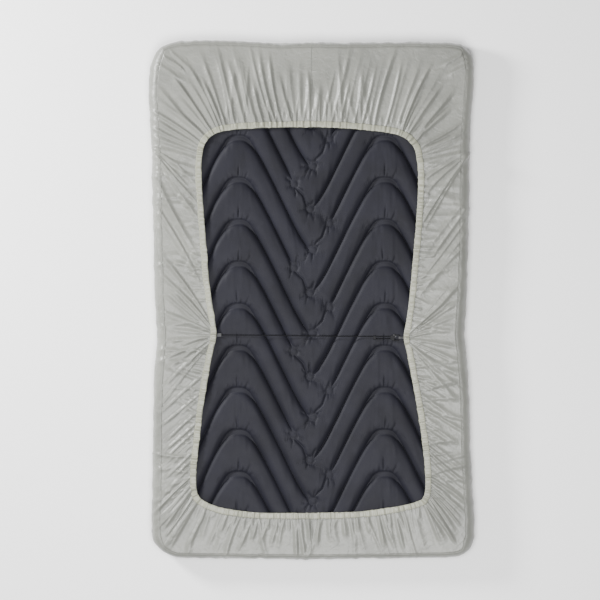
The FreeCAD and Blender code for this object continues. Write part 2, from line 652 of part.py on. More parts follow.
def make_crimp():
    """A flattened collar with a bore for each strand; its own Z axis runs along the cord."""
    body = new_body("cord_crimp", Placement(
        Vector(mm("crimp_across"), -mm("hook_back"), mm("cord_height")), Rotation(Vector(0, 1, 0), 90)))
    collar = new_sketch(body, "CrimpOutline", "XY_Plane", -size("crimp_length") / 2)
    spacing = size("post_radius") + size("cord_diameter") / 2 + 0.2
    ends = []
    for side in (1, -1):
        ring = Part.Circle(Vector(0, side * strand, 0), Vector(0, 0, 1), mm("crimp_radius"))
        turn = 0 if side > 0 else math.pi
        ends.append(Part.ArcOfCircle(ring, turn, turn + math.pi))
        collar.addGeometry(ends[-1])
    for i in range(2):
        collar.addGeometry(Part.LineSegment(ends[i].EndPoint, ends[1 - i].StartPoint))
    for i, centre in enumerate((spacing, -spacing)):
        constrain(collar, "Tangent", i, 2, 2 + i, 1)
        constrain(collar, "Tangent", 2 + i, 2, 1 - i, 1)
        constrain(collar, "PointOnObject", i, 3, -2)
        constrain(collar, "DistanceY", i, 3, centre)
    constrain(collar, "Radius", 0, size("crimp_radius"))
    feature(body, "Pad", "CrimpBlock", Profile=collar, Length=size("crimp_length"))
    bores = new_sketch(body, "CrimpBores", "XY_Plane", size("crimp_length") / 2 + 1)
    for centre in (spacing, -spacing):
        circle(bores, size("cord_diameter") / 2 + 0.1, 0, centre)
    pocket(body, "CrimpBoring", bores, size("crimp_length") + 2)


def make_anchor_tab():
    """A folded tape sewn to the hem's left point, closed round the cord's end."""
    body = new_body("cord_anchor_tab", Placement(
        Vector(-mm("hem_waist") + slack, -mm("cord_left_back"), mm("cord_height")), Rotation()))
    side_view = new_sketch(body, "TabOutline", "XZ_Plane")
    length, top = size("tab_length"), size("cord_diameter") / 2 + 0.15 + size("tab_tape")
    bottom = skirt_bottom - size("cord_height").value
    polygon(side_view, [(0, bottom), (length, bottom), (length, top - 1), (length - 1, top), (0, top)])
    feature(body, "Pad", "TabBlock", Profile=side_view, Length=size("tab_width"), Midplane=True)
    bore = new_sketch(body, "TabBore", "YZ_Plane", length + 1)
    circle(bore, size("cord_diameter") / 2 + 0.1)
    pocket(body, "TabSleeve", bore, length - size("tab_stitching"))


# ---------------------------------------------------------------- snap hook
def slot_outline(sketch, radius, left, right):
    """A slot with round ends whose extreme points are at left and right."""
    radius, left, right = as_size(radius), as_size(left), as_size(right)
    near, far = left + radius, right - radius
    half = math.pi / 2
    for centre, turn in ((near, half), (far, -half)):
        ring = Part.Circle(Vector(centre.value, 0, 0), Vector(0, 0, 1), radius.value)
        sketch.addGeometry(Part.ArcOfCircle(ring, turn, turn + math.pi))
    ends = sketch.Geometry[-2:]
    first = sketch.GeometryCount - 2
    for i in range(2):
        sketch.addGeometry(Part.LineSegment(ends[i].EndPoint, ends[1 - i].StartPoint))
    for i, centre in enumerate((near, far)):
        constrain(sketch, "Tangent", first + i, 2, first + 2 + i, 1)
        constrain(sketch, "Tangent", first + 2 + i, 2, first + 1 - i, 1)
        constrain(sketch, "PointOnObject", first + i, 3, -1)
        constrain(sketch, "DistanceX", first + i, 3, centre)
    constrain(sketch, "Radius", first, radius)


def make_hook_body():
    """An eye block with a post between two cheeks, a round bow, and two ears for the gate."""
    body = new_body("hook_body", hook_place)
    half = size("hook_thickness") / 2
    block = new_sketch(body, "BlockOutline", "XY_Plane", -half)
    polygon(block, [(-5.6, -4), (-2.8, -7.4), (5, -11.2), (9.6, -11.6), (9.6, -7.4), (9.2, -4), (9.2, 5.4),
                    (10.2, 7.4), (10.2, 10.8), (8.6, 12.2), (5.4, 12), (-2.8, 7.4), (-5.6, 4)])
    feature(body, "Pad", "Block", Profile=block, Length=size("hook_thickness"))
    level = (half.value, -half.value)
    bevel_edges(body, "BlockBevel", as_size(0.5), lambda edge: any(at_height(z)(edge) for z in level))

    spine = new_sketch(body, "BowPath")
    radius, middle = mm("bow_radius"), mm("bow_middle")
    ring = Part.Circle(Vector(middle, 0, 0), Vector(0, 0, 1), radius)
    spine.addGeometry(Part.LineSegment(Vector(6, -radius, 0), Vector(middle, -radius, 0)))
    spine.addGeometry(Part.ArcOfCircle(ring, -math.pi / 2, math.radians(mm("nose_angle"))))
    constrain(spine, "Tangent", 0, 2, 1, 1)
    constrain(spine, "Horizontal", 0)
    constrain(spine, "Radius", 1, size("bow_radius"))
    constrain(spine, "DistanceX", 1, 3, size("bow_middle"))
    constrain(spine, "PointOnObject", 1, 3, -1)
    constrain(spine, "DistanceX", 0, 1, as_size(6))
    section = new_sketch(body, "BowSection", "YZ_Plane", 6)
    flat, corner = size("bow_diameter") / 2, size("bow_diameter") / 2 * math.tan(math.radians(22.5))
    eight = [(flat, corner), (corner, flat), (-corner, flat), (-flat, corner), (-flat, -corner),
             (-corner, -flat), (corner, -flat), (flat, -corner)]
    polygon(section, [(y - size("bow_radius"), z) for y, z in eight])
    feature(body, "AdditivePipe", "Bow", Profile=section, Spine=(spine, ["Edge1", "Edge2"]))

    gap = size("clevis_gap")
    room = size("post_radius") + size("cord_diameter") + 0.6
    slot = new_sketch(body, "CordSlot", "XY_Plane", -gap / 2)
    slot_outline(slot, room, -20, room)
    pocket(body, "CordSpace", slot, gap, towards_plus=True)
    post = new_sketch(body, "PostOutline", "XY_Plane", -gap / 2 - 0.2)
    circle(post, size("post_radius"))
    feature(body, "Pad", "Post", Profile=post, Length=gap + 0.4)
    ear_gap = size("gate_thickness") + 0.4
    knuckle = new_sketch(body, "KnuckleOutline", "XY_Plane", -ear_gap / 2)
    circle(knuckle, size("knuckle_room"), size("gate_across"), size("gate_side"))
    pocket(body, "KnuckleSpace", knuckle, ear_gap, towards_plus=True)
    hole = new_sketch(body, "PinHole", "XY_Plane", half + 1)
    circle(hole, size("pin_diameter") / 2, size("gate_across"), size("gate_side"))
    pocket(body, "PinBore", hole, size("hook_thickness") + 2)


def make_hook_gate():
    """The gate's own origin is on its hinge pin; the tip follows the arc that the nose leaves free."""
    pivot = hook_place * Placement(Vector(mm("gate_across"), mm("gate_side"), 0), Rotation())
    body = new_body("hook_gate", pivot)
    thick, long = size("gate_thickness"), size("gate_length")
    bar = new_sketch(body, "GateOutline", "XY_Plane", -thick / 2)
    half, tip, taper = size("gate_width") / 2, size("gate_tip") / 2, size("gate_taper")
    shoulder = half - 0.6
    polygon(bar, [(0, -half), (long - taper, -shoulder), (long, -tip), (long, tip),
                  (long - taper, shoulder), (0, half)])
    feature(body, "Pad", "GateBar", Profile=bar, Length=thick)
    knuckle = new_sketch(body, "GateKnuckle", "XY_Plane", -thick / 2)
    circle(knuckle, size("knuckle_radius"))
    feature(body, "Pad", "Knuckle", Profile=knuckle, Length=thick)
    groove = new_sketch(body, "ThumbGroove", "XY_Plane", thick)
    notch = size("thumb_groove")
    polygon(groove, [(5 - notch, half + 1), (5, half - notch), (5 + notch, half + 1)])
    cut = pocket(body, "Groove", groove, thick * 2)
    along = next(f for f in body.Origin.OriginFeatures if f.Role == "X_Axis")
    feature(body, "LinearPattern", "Grooves", Originals=[cut], Direction=(along, [""]),
            Length=long * 0.4, Occurrences=4)
    hole = new_sketch(body, "GateHole", "XY_Plane", thick)
    circle(hole, size("pin_diameter") / 2 + 0.08)
    pocket(body, "GateBore", hole, thick * 2)

    pin = sub_part(doc.addObject("Part::Cylinder", "gate_pin"), "gate_pin")
    pin.setExpression("Radius", "Sizes.pin_diameter / 2")
    pin.setExpression("Height", "Sizes.hook_thickness")
    pin.Placement = pivot * Placement(Vector(0, 0, -mm("hook_thickness") / 2), Rotation())


def make_gate_spring():
    """A leaf held in the block, curved up to the gate's inner side."""
    thick, reach = mm("spring_thickness"), 1.4
    middle = [Vector(8.4, 1.2, -reach), Vector(12.6, 3.2, -reach), Vector(14.4, 6.9, -reach)]
    arc = Part.Arc(*middle)
    inner, outer = (arc.toShape().makeOffset2D(s * thick / 2, 0, False, True, False) for s in (-1, 1))
    edges = [inner.Edges[0], outer.Edges[0]]
    edges += [Part.LineSegment(inner.Vertexes[i].Point, outer.Vertexes[i].Point).toShape() for i in (0, 1)]
    leaf = Part.Face(Part.Wire(Part.__sortEdges__(edges))).extrude(Vector(0, 0, 2 * reach))
    spring = solid_part("gate_spring", leaf)
    spring.Placement = hook_place


def make_anchor_loop():
    """A tape folded round the hook's bow, with its two plies sewn together to the hem's right point."""
    body = new_body("hook_anchor_loop", hook_place)
    tape, bow = size("tape_thickness"), size("bow_diameter") / 2
    right = size("bow_middle") + size("bow_radius")
    eye_left, eye_right = right - 4, right + 5.5
    outer = new_sketch(body, "LoopOutline", "XZ_Plane")
    slot_outline(outer, bow + 0.3 + tape, eye_left - tape, eye_right + tape)
    feature(body, "Pad", "LoopBlock", Profile=outer, Length=size("loop_width"), Midplane=True)
    tail = new_sketch(body, "TailOutline", "XZ_Plane")
    end = size("hem_waist") - size("hook_across") - 0.3
    polygon(tail, [(eye_right, -tape), (end, -tape), (end, tape), (eye_right, tape)])
    feature(body, "Pad", "Tail", Profile=tail, Length=size("loop_width"), Midplane=True)
    inner = new_sketch(body, "LoopEye", "XZ_Plane", -size("loop_width"))
    slot_outline(inner, bow + 0.3, eye_left, eye_right)
    pocket(body, "LoopHole", inner, size("loop_width") * 2, towards_plus=True)


# ---------------------------------------------------------------- build, check and write
make_valve_body()
make_valve_plunger()
make_valve_knob()
make_valve_rings()
make_pad()
make_sheet()
make_cord()
make_crimp()
make_anchor_tab()
make_hook_body()
make_hook_gate()
make_gate_spring()
make_anchor_loop()
doc.recompute()

for item in doc.Objects:
    if "Invalid" in item.State or "Error" in item.State:
        raise RuntimeError(f"{item.Name} failed: {item.State}")
for item in sub_parts:
    if item.Shape.isNull() or not item.Shape.isValid() or not item.Shape.Solids:
        raise RuntimeError(f"{item.Label} has no valid solid")
for item in sub_parts:
    item.Shape.exportStep(f"parts/{item.Label}.step")
total = sum(item.Shape.Volume for item in sub_parts)
print(f"{len(sub_parts)} sub-parts, {total / 1e9:.4f} cubic metres")
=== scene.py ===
"""Looks of a double sleeping pad in its fitted sheet, lying on its sleeping face."""
import math
from contextlib import contextmanager

import bmesh
import bpy
import numpy as np
from mathutils import Matrix, Vector


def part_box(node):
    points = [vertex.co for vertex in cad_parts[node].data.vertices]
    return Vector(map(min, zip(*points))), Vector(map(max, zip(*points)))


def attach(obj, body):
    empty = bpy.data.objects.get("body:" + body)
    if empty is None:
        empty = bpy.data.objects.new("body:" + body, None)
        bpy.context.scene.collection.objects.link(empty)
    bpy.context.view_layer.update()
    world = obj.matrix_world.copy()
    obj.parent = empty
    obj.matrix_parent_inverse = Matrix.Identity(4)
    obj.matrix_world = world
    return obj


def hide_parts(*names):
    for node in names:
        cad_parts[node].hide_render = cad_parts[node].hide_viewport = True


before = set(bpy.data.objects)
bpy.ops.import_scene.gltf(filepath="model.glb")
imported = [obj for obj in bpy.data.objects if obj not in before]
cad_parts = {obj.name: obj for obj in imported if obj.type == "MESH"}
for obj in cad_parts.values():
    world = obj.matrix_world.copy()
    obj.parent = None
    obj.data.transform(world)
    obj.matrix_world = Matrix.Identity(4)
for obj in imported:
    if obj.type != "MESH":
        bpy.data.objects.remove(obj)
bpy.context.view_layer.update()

MM = 0.001

# ---- places taken from the frame
skirt_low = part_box("skirt_left")[0]
pad_low, pad_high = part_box("pad_underside_panel")
weld_low, weld_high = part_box("perimeter_weld")
cord_low, cord_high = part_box("cross_cord")

PAD_TOP = pad_high[2]
PAD_MIDDLE = pad_low[2]
PAD_HALF_HEIGHT = PAD_TOP - PAD_MIDDLE
PAD_HALF_WIDTH, PAD_HALF_LENGTH = pad_high[0], pad_high[1]
CORD_HEIGHT = (cord_low[2] + cord_high[2]) / 2
CLOTH = 0.5 * MM        # how thick the sheet's cloth is


# ---- small tools
def link(data, name):
    """A new object in the scene, made from a mesh, a curve, a camera or a light."""
    piece = bpy.data.objects.new(name, data)
    bpy.context.collection.objects.link(piece)
    return piece


def shade_smooth(piece):
    piece.data.polygons.foreach_set("use_smooth", [True] * len(piece.data.polygons))


def grid_piece(name, points, uv=None):
    """A sheet of quads: a flat grid whose corners are moved to points[across, along]."""
    across, along = points.shape[0], points.shape[1]
    shape = bmesh.new()
    bmesh.ops.create_grid(shape, x_segments=across - 1, y_segments=along - 1, size=1.0, calc_uvs=False)
    mesh = bpy.data.meshes.new(name)
    shape.to_mesh(mesh)
    shape.free()
    flat = np.empty(len(mesh.vertices) * 3)
    mesh.vertices.foreach_get("co", flat)
    flat = flat.reshape(-1, 3)
    column = np.rint((flat[:, 0] + 1) / 2 * (across - 1)).astype(int)
    row = np.rint((flat[:, 1] + 1) / 2 * (along - 1)).astype(int)
    mesh.vertices.foreach_set("co", points[column, row].ravel())
    if uv is not None:
        layer = mesh.uv_layers.new(name="cloth")
        loops = np.empty(len(mesh.loops), dtype=int)
        mesh.loops.foreach_get("vertex_index", loops)
        layer.data.foreach_set("uv", uv[column, row][loops].ravel())
    mesh.update()
    piece = link(mesh, name)
    shade_smooth(piece)
    return piece


def run_along(line):
    """How far along a line each of its points lies."""
    return np.concatenate([[0], np.cumsum(np.linalg.norm(np.diff(line, axis=0), axis=1))])


def lifted(plan, height):
    return np.concatenate([plan, height[..., None]], axis=2)


def cloth_map(run, across):
    """A piece's own map, in metres along it and across it."""
    return np.stack(np.meshgrid(run, across, indexing="ij"), axis=2)


JOIN, SLIVER = 1e-5, 1e-6      # how close points are joined, and how short an edge is dropped


def join_rim(shape, distance=JOIN):
    """Joins the open edges of a mesh where they meet."""
    bmesh.ops.remove_doubles(shape, verts=[v for v in shape.verts if v.is_boundary], dist=distance)


@contextmanager
def reshaping(piece):
    """A piece's mesh, open to bmesh operators, and written back when they are done."""
    shape = bmesh.new()
    shape.from_mesh(piece.data)
    yield shape
    shape.to_mesh(piece.data)
    shape.free()


def flip_faces(piece):
    with reshaping(piece) as shape:
        bmesh.ops.reverse_faces(shape, faces=shape.faces)


def facing_up(piece):
    normals = np.empty(len(piece.data.polygons) * 3)
    piece.data.polygons.foreach_get("normal", normals)
    return normals.reshape(-1, 3)[:, 2].mean() > 0


def smooth_step(low, high, x):
    share = np.clip((x - low) / (high - low), 0, 1)
    return share * share * (3 - 2 * share)


def catmull(points, spacing):
    """A smooth line through the points, read at even steps of about the given spacing."""
    p = np.array(points, float)
    ends = np.vstack([2 * p[0] - p[1], p, 2 * p[-1] - p[-2]])
    share = np.linspace(0, 1, 24, endpoint=False)[:, None]
    fine = []
    for a, b, c, d in zip(ends[:-3], ends[1:-2], ends[2:-1], ends[3:]):
        fine.append(0.5 * (2 * b + (c - a) * share + (2 * a - 5 * b + 4 * c - d) * share ** 2
                           + (3 * b - a - 3 * c + d) * share ** 3))
    fine = np.vstack(fine + [p[-1:]])
    return resample(fine, spacing=spacing)


def resample(line, spacing=None, count=None):
    """The same line, read at even steps."""
    run = run_along(line)
    count = count or max(2, int(round(run[-1] / spacing)) + 1)
    at = np.linspace(0, run[-1], count)
    return np.stack([np.interp(at, run, line[:, k]) for k in range(line.shape[1])], axis=1)


def value_noise(shape_of, knots, rng):
    """Smooth seeded noise on a grid, from -1 to 1, with the given number of knots each way."""
    field = rng.uniform(-1, 1, (knots[0] + 3, knots[1] + 3))
    u = np.linspace(0, knots[0], shape_of[0])
    v = np.linspace(0, knots[1], shape_of[1])
    iu, iv = np.minimum(u.astype(int), knots[0] - 1), np.minimum(v.astype(int), knots[1] - 1)
    fu, fv = (u - iu)[:, None], (v - iv)[None, :]
    fu, fv = smooth_step(0, 1, fu), smooth_step(0, 1, fv)
    a, b = field[np.ix_(iu, iv)], field[np.ix_(iu + 1, iv)]
    c, d = field[np.ix_(iu, iv + 1)], field[np.ix_(iu + 1, iv + 1)]
    return (a * (1 - fu) + b * fu) * (1 - fv) + (c * (1 - fu) + d * fu) * fv


# ---- camera, floor and light
VIEW_WIDTH = 2.181          # what the camera sees at the height of the pad's top, in metres
VIEW_MIDDLE = (0, -0.001)
VIEW_SHIFT = -0.0187
LENS = 200.0
SENSOR = 36.0
CLIP_END = 100
FLOOR_SIZE = 40
FLOOR_DROP = 0.002          # keeps the floor off the cloth's lowest faces
FLOOR_WHITE = (0.95, 0.95, 0.95, 1)
FLOOR_ROUGHNESS = 0.9
WORLD_STRENGTH = 0.50
LIGHTS = [                  # name, place, width in metres and power in watts
    ("overhead", (0, -0.9, 4.3), 2.4, 310),
    ("key", (-3.4, 1.6, 1.7), 1.0, 380),
]


def make_camera():
    data = bpy.data.cameras.new("camera")
    data.lens, data.sensor_width = LENS, SENSOR
    data.shift_x = VIEW_SHIFT
    data.clip_end = CLIP_END
    camera = link(data, "camera")
    camera.location = (*VIEW_MIDDLE, PAD_TOP + VIEW_WIDTH * LENS / SENSOR)
    bpy.context.scene.camera = camera


def make_light(name, place, width, power):
    """A round soft light that faces the middle of the pad."""
    data = bpy.data.lights.new(name, "AREA")
    data.shape, data.size, data.energy = "DISK", width, power
    lamp = link(data, name)
    lamp.location = place
    lamp.rotation_euler = (-Vector(place)).to_track_quat("-Z", "Y").to_euler()


def make_studio():
    shape = bmesh.new()
    bmesh.ops.create_grid(shape, x_segments=1, y_segments=1, size=FLOOR_SIZE)
    mesh = bpy.data.meshes.new("floor")
    shape.to_mesh(mesh)
    shape.free()
    floor = link(mesh, "floor")
    floor.data.transform(Matrix.Translation((0, 0, -FLOOR_DROP)))
    paper = bpy.data.materials.new("studio_floor")
    paper.use_nodes = True
    shader = paper.node_tree.nodes["Principled BSDF"]
    shader.inputs["Base Color"].default_value = FLOOR_WHITE
    shader.inputs["Roughness"].default_value = FLOOR_ROUGHNESS
    floor.data.materials.append(paper)
    world = bpy.data.worlds.new("studio")
    world.use_nodes = True
    background = world.node_tree.nodes["Background"]
    background.inputs["Color"].default_value = (1, 1, 1, 1)
    background.inputs["Strength"].default_value = WORLD_STRENGTH
    bpy.context.scene.world = world
    for light in LIGHTS:
        make_light(*light)


make_camera()

# ---- cross cord
CORD_DIAMETER = 3 * MM
CORD_ROUTE = [(x, y, CORD_HEIGHT) for x, y in [      # metres, the points the cord's solid follows
    (-0.337, -0.128), (-0.200, -0.1293), (0.020, -0.1320), (0.180, -0.1337), (0.250, -0.1337),
    (0.288, -0.1337), (0.2973, -0.1337), (0.2973, -0.1423), (0.288, -0.1423), (0.256, -0.1423),
    (0.2255, -0.1423)]]


def make_cord():
    data = bpy.data.curves.new("cross_cord_line", "CURVE")
    data.dimensions = "3D"
    data.bevel_depth, data.bevel_resolution = 1.0, 5      # times each point's radius
    data.resolution_u = 16
    data.use_fill_caps = True
    spline = data.splines.new("NURBS")
    spline.points.add(len(CORD_ROUTE) - 1)
    for point, place in zip(spline.points, CORD_ROUTE):
        point.co = (*place, 1)
        point.radius = CORD_DIAMETER / 2
    spline.order_u = 3
    spline.use_endpoint_u = True
    cord = link(data, "elastic_cross_cord")
    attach(cord, "pad")
    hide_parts("cross_cord")
    return cord


cord = make_cord()

make_studio()

# ---- the pad
PITCH = 0.1527          # from one arch to the next
ARCH_ACROSS = 0.266     # each column of arches, from the middle line
FIRST_ARCH = 0.435      # the arch of row 0; row numbers grow towards the foot
ARCH_SOFTNESS = 0.052   # how far out an arch's top turns into its straight legs
LEG_SLOPE = 2.08
CURL_START = 0.190      # how far inside an arch its leg starts to level out
CURL = 5.5
LEG_ENDS = {1: (-0.004, 0.067), -1: (0.008, -0.062)}   # of a long row and a short row, on each side
OUTER_LEG_END = 0.480
CRESCENT = 0.0118       # half the weld's width at an arch
CRESCENT_REACH = 0.062  # how far along the arch the weld stays wide
LEG_WELD = 0.0004       # half the weld's width along a leg
SPOT_RADIUS = 0.0165
RAIL = 0.046            # the plain chamber that runs round the pad
RAIL_ROOM = 0.002
RIM_STEP = 0.004
PAD_CORNER = 0.122
VALVE_CORNER = 0.160
HEAD_REACH = PAD_HALF_LENGTH - 0.008
FOOT_REACH = PAD_HALF_LENGTH - 0.002
EDGE_ROOM = 0.009       # between the pad and the cloth at its side
FILM_ROWS = range(-6, 10)   # the rows of arches that reach the pad
GRID_ROWS = range(-8, 12)   # the rows whose legs' far ends still reach it
COLUMN_STRETCHES = [    # from, to and how many columns
    (0, 0.095, 34), (0.095, 0.215, 22), (0.215, 0.317, 42), (0.317, 0.430, 18),
    (0.430, 0.545, 10), (0.545, PAD_HALF_WIDTH, 7)]
ROW_GAPS = [0, 0.0022, 0.005, 0.0085, 0.0125, 0.017, 0.0225, 0.029, 0.036, 0.044, 0.054, 0.065,
            PITCH / 2]  # from a weld to the rows of points on both sides of it


def arch_drop(across):
    """How far towards the foot a weld lies below its arch, at a distance across the pad."""
    dx = np.abs(np.abs(across) - ARCH_ACROSS)
    drop = LEG_SLOPE * (np.cbrt(dx ** 3 + ARCH_SOFTNESS ** 3) - ARCH_SOFTNESS)
    inner = np.maximum(ARCH_ACROSS - np.abs(across) - CURL_START, 0)
    return drop - CURL * inner ** 2


def leg_reach(row, side):
    """How far across a row's inner leg goes: rows end by turns past the middle and short of it."""
    long_end, short_end = LEG_ENDS[side]
    return long_end if (row % 2 == 0) == (side > 0) else short_end


def pad_columns():
    """Column places across the pad, closest where the arches and the weld spots are."""
    right = np.concatenate([np.linspace(a, b, n, endpoint=False) for a, b, n in COLUMN_STRETCHES]
                           + [[PAD_HALF_WIDTH]])
    return np.concatenate([-right[:0:-1], right])


def pad_rows(reach):
    """Row places along the pad before they are bent into arches, closest to the welds."""
    low, high = -reach, reach + arch_drop(np.array([0.0]))[0]
    rows = set()
    for row in GRID_ROWS:
        arch = FIRST_ARCH - PITCH * row
        for gap in ROW_GAPS:
            rows.update(round(arch + sign * gap, 6) for sign in (1, -1))
    rows = [r for r in sorted(rows) if low < r < high]
    kept = [low] + [r for i, r in enumerate(rows) if i == 0 or r - rows[i - 1] > 1e-4] + [high]
    return np.array(kept)


def outline_reach(across):
    """How far the pad's outline reaches towards the head and the foot, at each distance across."""
    head = np.full_like(across, HEAD_REACH)
    foot = np.full_like(across, FOOT_REACH)
    for side in (1, -1):
        for reach, radius in ((head, VALVE_CORNER if side > 0 else PAD_CORNER), (foot, PAD_CORNER)):
            past = np.maximum(side * across - (PAD_HALF_WIDTH - radius), 0)
            reach -= np.where(past > 0, radius - np.sqrt(np.maximum(radius ** 2 - past ** 2, 0)), 0)
    return head, foot


def pad_grid():
    """X, Y and the bent row coordinate of every point of one face of the pad."""
    columns = pad_columns()
    inner = PAD_HALF_LENGTH - RAIL
    rows = pad_rows(inner)
    head, foot = outline_reach(columns)
    drop = arch_drop(columns)
    across = np.repeat(columns[:, None], len(rows), axis=1)
    bent = rows[None, :] - drop[:, None]
    along = bent.copy()
    for i in range(len(columns)):
        top_edge, foot_edge = head[i] - RAIL, -foot[i] + RAIL
        above, below = bent[i] > top_edge, bent[i] < foot_edge
        if above.any():
            first = bent[i][above][0]
            last = bent[i][-1]
            span = max(last - first, 1e-9)
            start = min(first, top_edge + RIM_STEP)
            along[i][above] = start + (bent[i][above] - first) / span * (head[i] - start)
        else:
            along[i][-1] = head[i]
        if below.any():
            first, last = bent[i][below][-1], bent[i][0]
            span = max(first - last, 1e-9)
            start = max(first, foot_edge - RIM_STEP)
            along[i][below] = start - (first - bent[i][below]) / span * (start + foot[i])
        else:
            along[i][0] = -foot[i]
    return across, along, columns, rows


def weld_mask(across, along, columns, rows):
    """The points where the two faces are joined: arches, legs and weld spots."""
    welded = np.zeros(across.shape, bool)
    inside = np.abs(along) < PAD_HALF_LENGTH - RAIL - RAIL_ROOM
    spots = []
    for row in FILM_ROWS:
        arch = FIRST_ARCH - PITCH * row
        for side in (1, -1):
            reach = leg_reach(row, side)
            leg = (side * columns >= side * reach) & (side * columns <= OUTER_LEG_END)
            dx = np.abs(columns - side * ARCH_ACROSS)
            width = CRESCENT * np.exp(-(dx / CRESCENT_REACH) ** 4) + LEG_WELD
            near = np.abs(rows[None, :] - arch) <= width[:, None]
            welded |= near & leg[:, None] & inside
            spot_y = arch - arch_drop(np.array([reach]))[0]
            spots.append((reach, spot_y))
            welded |= ((across - reach) ** 2 + (along - spot_y) ** 2 < SPOT_RADIUS ** 2) & inside
    welded[0, :] = welded[-1, :] = welded[:, 0] = welded[:, -1] = True
    return welded, spots


SOLVER_TURNS = 900
SOLVER_SHARE = 1e-10    # the solver stops when this share of the first error is left


def inflate(across, along, welded):
    """How far a tight skin rises above its welds, from Poisson's equation on the grid's triangles."""
    p = np.stack([across, along], axis=2)
    corner = {"a": p[:-1, :-1], "b": p[1:, :-1], "c": p[1:, 1:], "d": p[:-1, 1:]}
    rising = (np.linalg.norm(corner["c"] - corner["a"], axis=2)
              > np.linalg.norm(corner["b"] - corner["d"], axis=2))
    mass = np.zeros(across.shape)
    place = {"a": (slice(0, -1), slice(0, -1)), "b": (slice(1, None), slice(0, -1)),
             "c": (slice(1, None), slice(1, None)), "d": (slice(0, -1), slice(1, None))}
    cell = {edge: np.zeros(rising.shape) for edge in ("ab", "ad", "ac", "bd", "bc", "dc")}
    for names, used in (("abc", ~rising), ("acd", ~rising), ("abd", rising), ("bcd", rising)):
        q = [corner[n] for n in names]
        area = np.abs(np.cross(q[1] - q[0], q[2] - q[0])) / 2 + 1e-14
        for k in range(3):
            one, other = (q[(k + 1) % 3] - q[k]), (q[(k + 2) % 3] - q[k])
            cot = (one * other).sum(2) / (2 * area) / 2
            edge = "".join(sorted((names[(k + 1) % 3], names[(k + 2) % 3])))
            edge = {"cd": "dc"}.get(edge, edge)
            cell[edge] += np.where(used, cot, 0)
            mass[place[names[k]]] += np.where(used, area / 3, 0)
    pairs = [(*edge, weight) for edge, weight in cell.items()]

    def apply(u):
        out = np.zeros_like(u)
        for one, other, weight in pairs:
            flow = weight * (u[place[one]] - u[place[other]])
            out[place[one]] += flow
            out[place[other]] -= flow
        return out

    diagonal = np.zeros(across.shape)
    for one, other, weight in pairs:
        diagonal[place[one]] += weight
        diagonal[place[other]] += weight
    free = ~welded
    inverse = np.where(free, 1 / np.maximum(diagonal, 1e-9), 0)
    height = np.zeros(across.shape)
    residual = np.where(free, mass, 0)
    search = inverse * residual
    strength = (residual * search).sum()
    first = strength
    for _ in range(SOLVER_TURNS):
        moved = np.where(free, apply(search), 0)
        step = strength / (search * moved).sum()
        height += step * search
        residual -= step * moved
        fresh = inverse * residual
        following = (residual * fresh).sum()
        if following < first * SOLVER_SHARE:
            break
        search = fresh + search * (following / strength)
        strength = following
    return np.sqrt(2 * np.maximum(height, 0))


def crease(distance, width):
    """A sharp valley with soft shoulders."""
    share = np.abs(distance) / width
    return np.exp(-share) * (1 + 0.2 * share)


def add_crease(depth, across, along, start, end, deep, width, jag=0.0):
    """Presses one sharp valley between two points into the depth map."""
    run = np.array(end) - np.array(start)
    long = np.hypot(*run)
    low = np.minimum(start, end) - 5 * width - jag
    top = np.maximum(start, end) + 5 * width + jag
    near = (across > low[0]) & (across < top[0]) & (along > low[1]) & (along < top[1])
    dx, dy = across[near] - start[0], along[near] - start[1]
    share = (dx * run[0] + dy * run[1]) / long ** 2
    off = (dx * run[1] - dy * run[0]) / long
    if jag:
        off = off + jag * (2 * np.abs((share * 1.5 + 0.25) % 1 - 0.5) - 0.5)
    fade = smooth_step(-0.06, 0.10, share) * (1 - smooth_step(0.70, 1.06, share))
    depth[near] = np.maximum(depth[near], deep * crease(off, width) * fade)


TUCKED_ROWS = range(-4, 9)
TUCK_LEANS = (-66, -47, -30, -14, 0, 13, 29, 48, 67)  # degrees from the pad's length
STRONG_LEANS = (-66, 67, 29)
MAIN_TUCK = (0.043, 0.0044, 0.0017)  # length, depth and width
STRONG_TUCK = (0.024, 0.038), (0.0034, 0.0046)  # least and most length, and depth
SLIGHT_TUCK = (0.012, 0.022), (0.0018, 0.0030)
SIDE_TUCK_WIDTH = 0.0021
TUCK_CENTRE, TUCK_START = 0.045, 0.058  # below the arch, and out from there
SPOT_TUCKS = 6
SPOT_TUCK = (0.016, 0.040), (0.0035, 0.0065)
SPOT_TUCK_START, SPOT_TUCK_WIDTH, SPOT_TUCK_JAG = 0.015, 0.0024, 0.002
CHAIN_REACH = 0.16  # the farthest that two joined spots lie apart
CHAIN_DEPTH, CHAIN_WIDTH, CHAIN_JAG = 0.0075, 0.0034, 0.009


def arch_creases(across, along, rng):
    """Short tucks that run out from the outside of each arch, where the cloth has to shorten."""
    depth = np.zeros_like(across)
    for row in TUCKED_ROWS:
        for side in (1, -1):
            apex = np.array([side * ARCH_ACROSS, FIRST_ARCH - PITCH * row])
            centre = apex - (0, TUCK_CENTRE)
            for lean in TUCK_LEANS:
                angle = math.radians(lean + rng.uniform(-4, 4))
                way = np.array([math.sin(angle), math.cos(angle)])
                if lean == 0:
                    long, deep, width = MAIN_TUCK
                else:
                    lengths, depths = STRONG_TUCK if lean in STRONG_LEANS else SLIGHT_TUCK
                    long, deep, width = rng.uniform(*lengths), rng.uniform(*depths), SIDE_TUCK_WIDTH
                start = centre + way * (TUCK_START + rng.uniform(-0.002, 0.004))
                add_crease(depth, across, along, start, start + way * long, deep, width)
    return depth


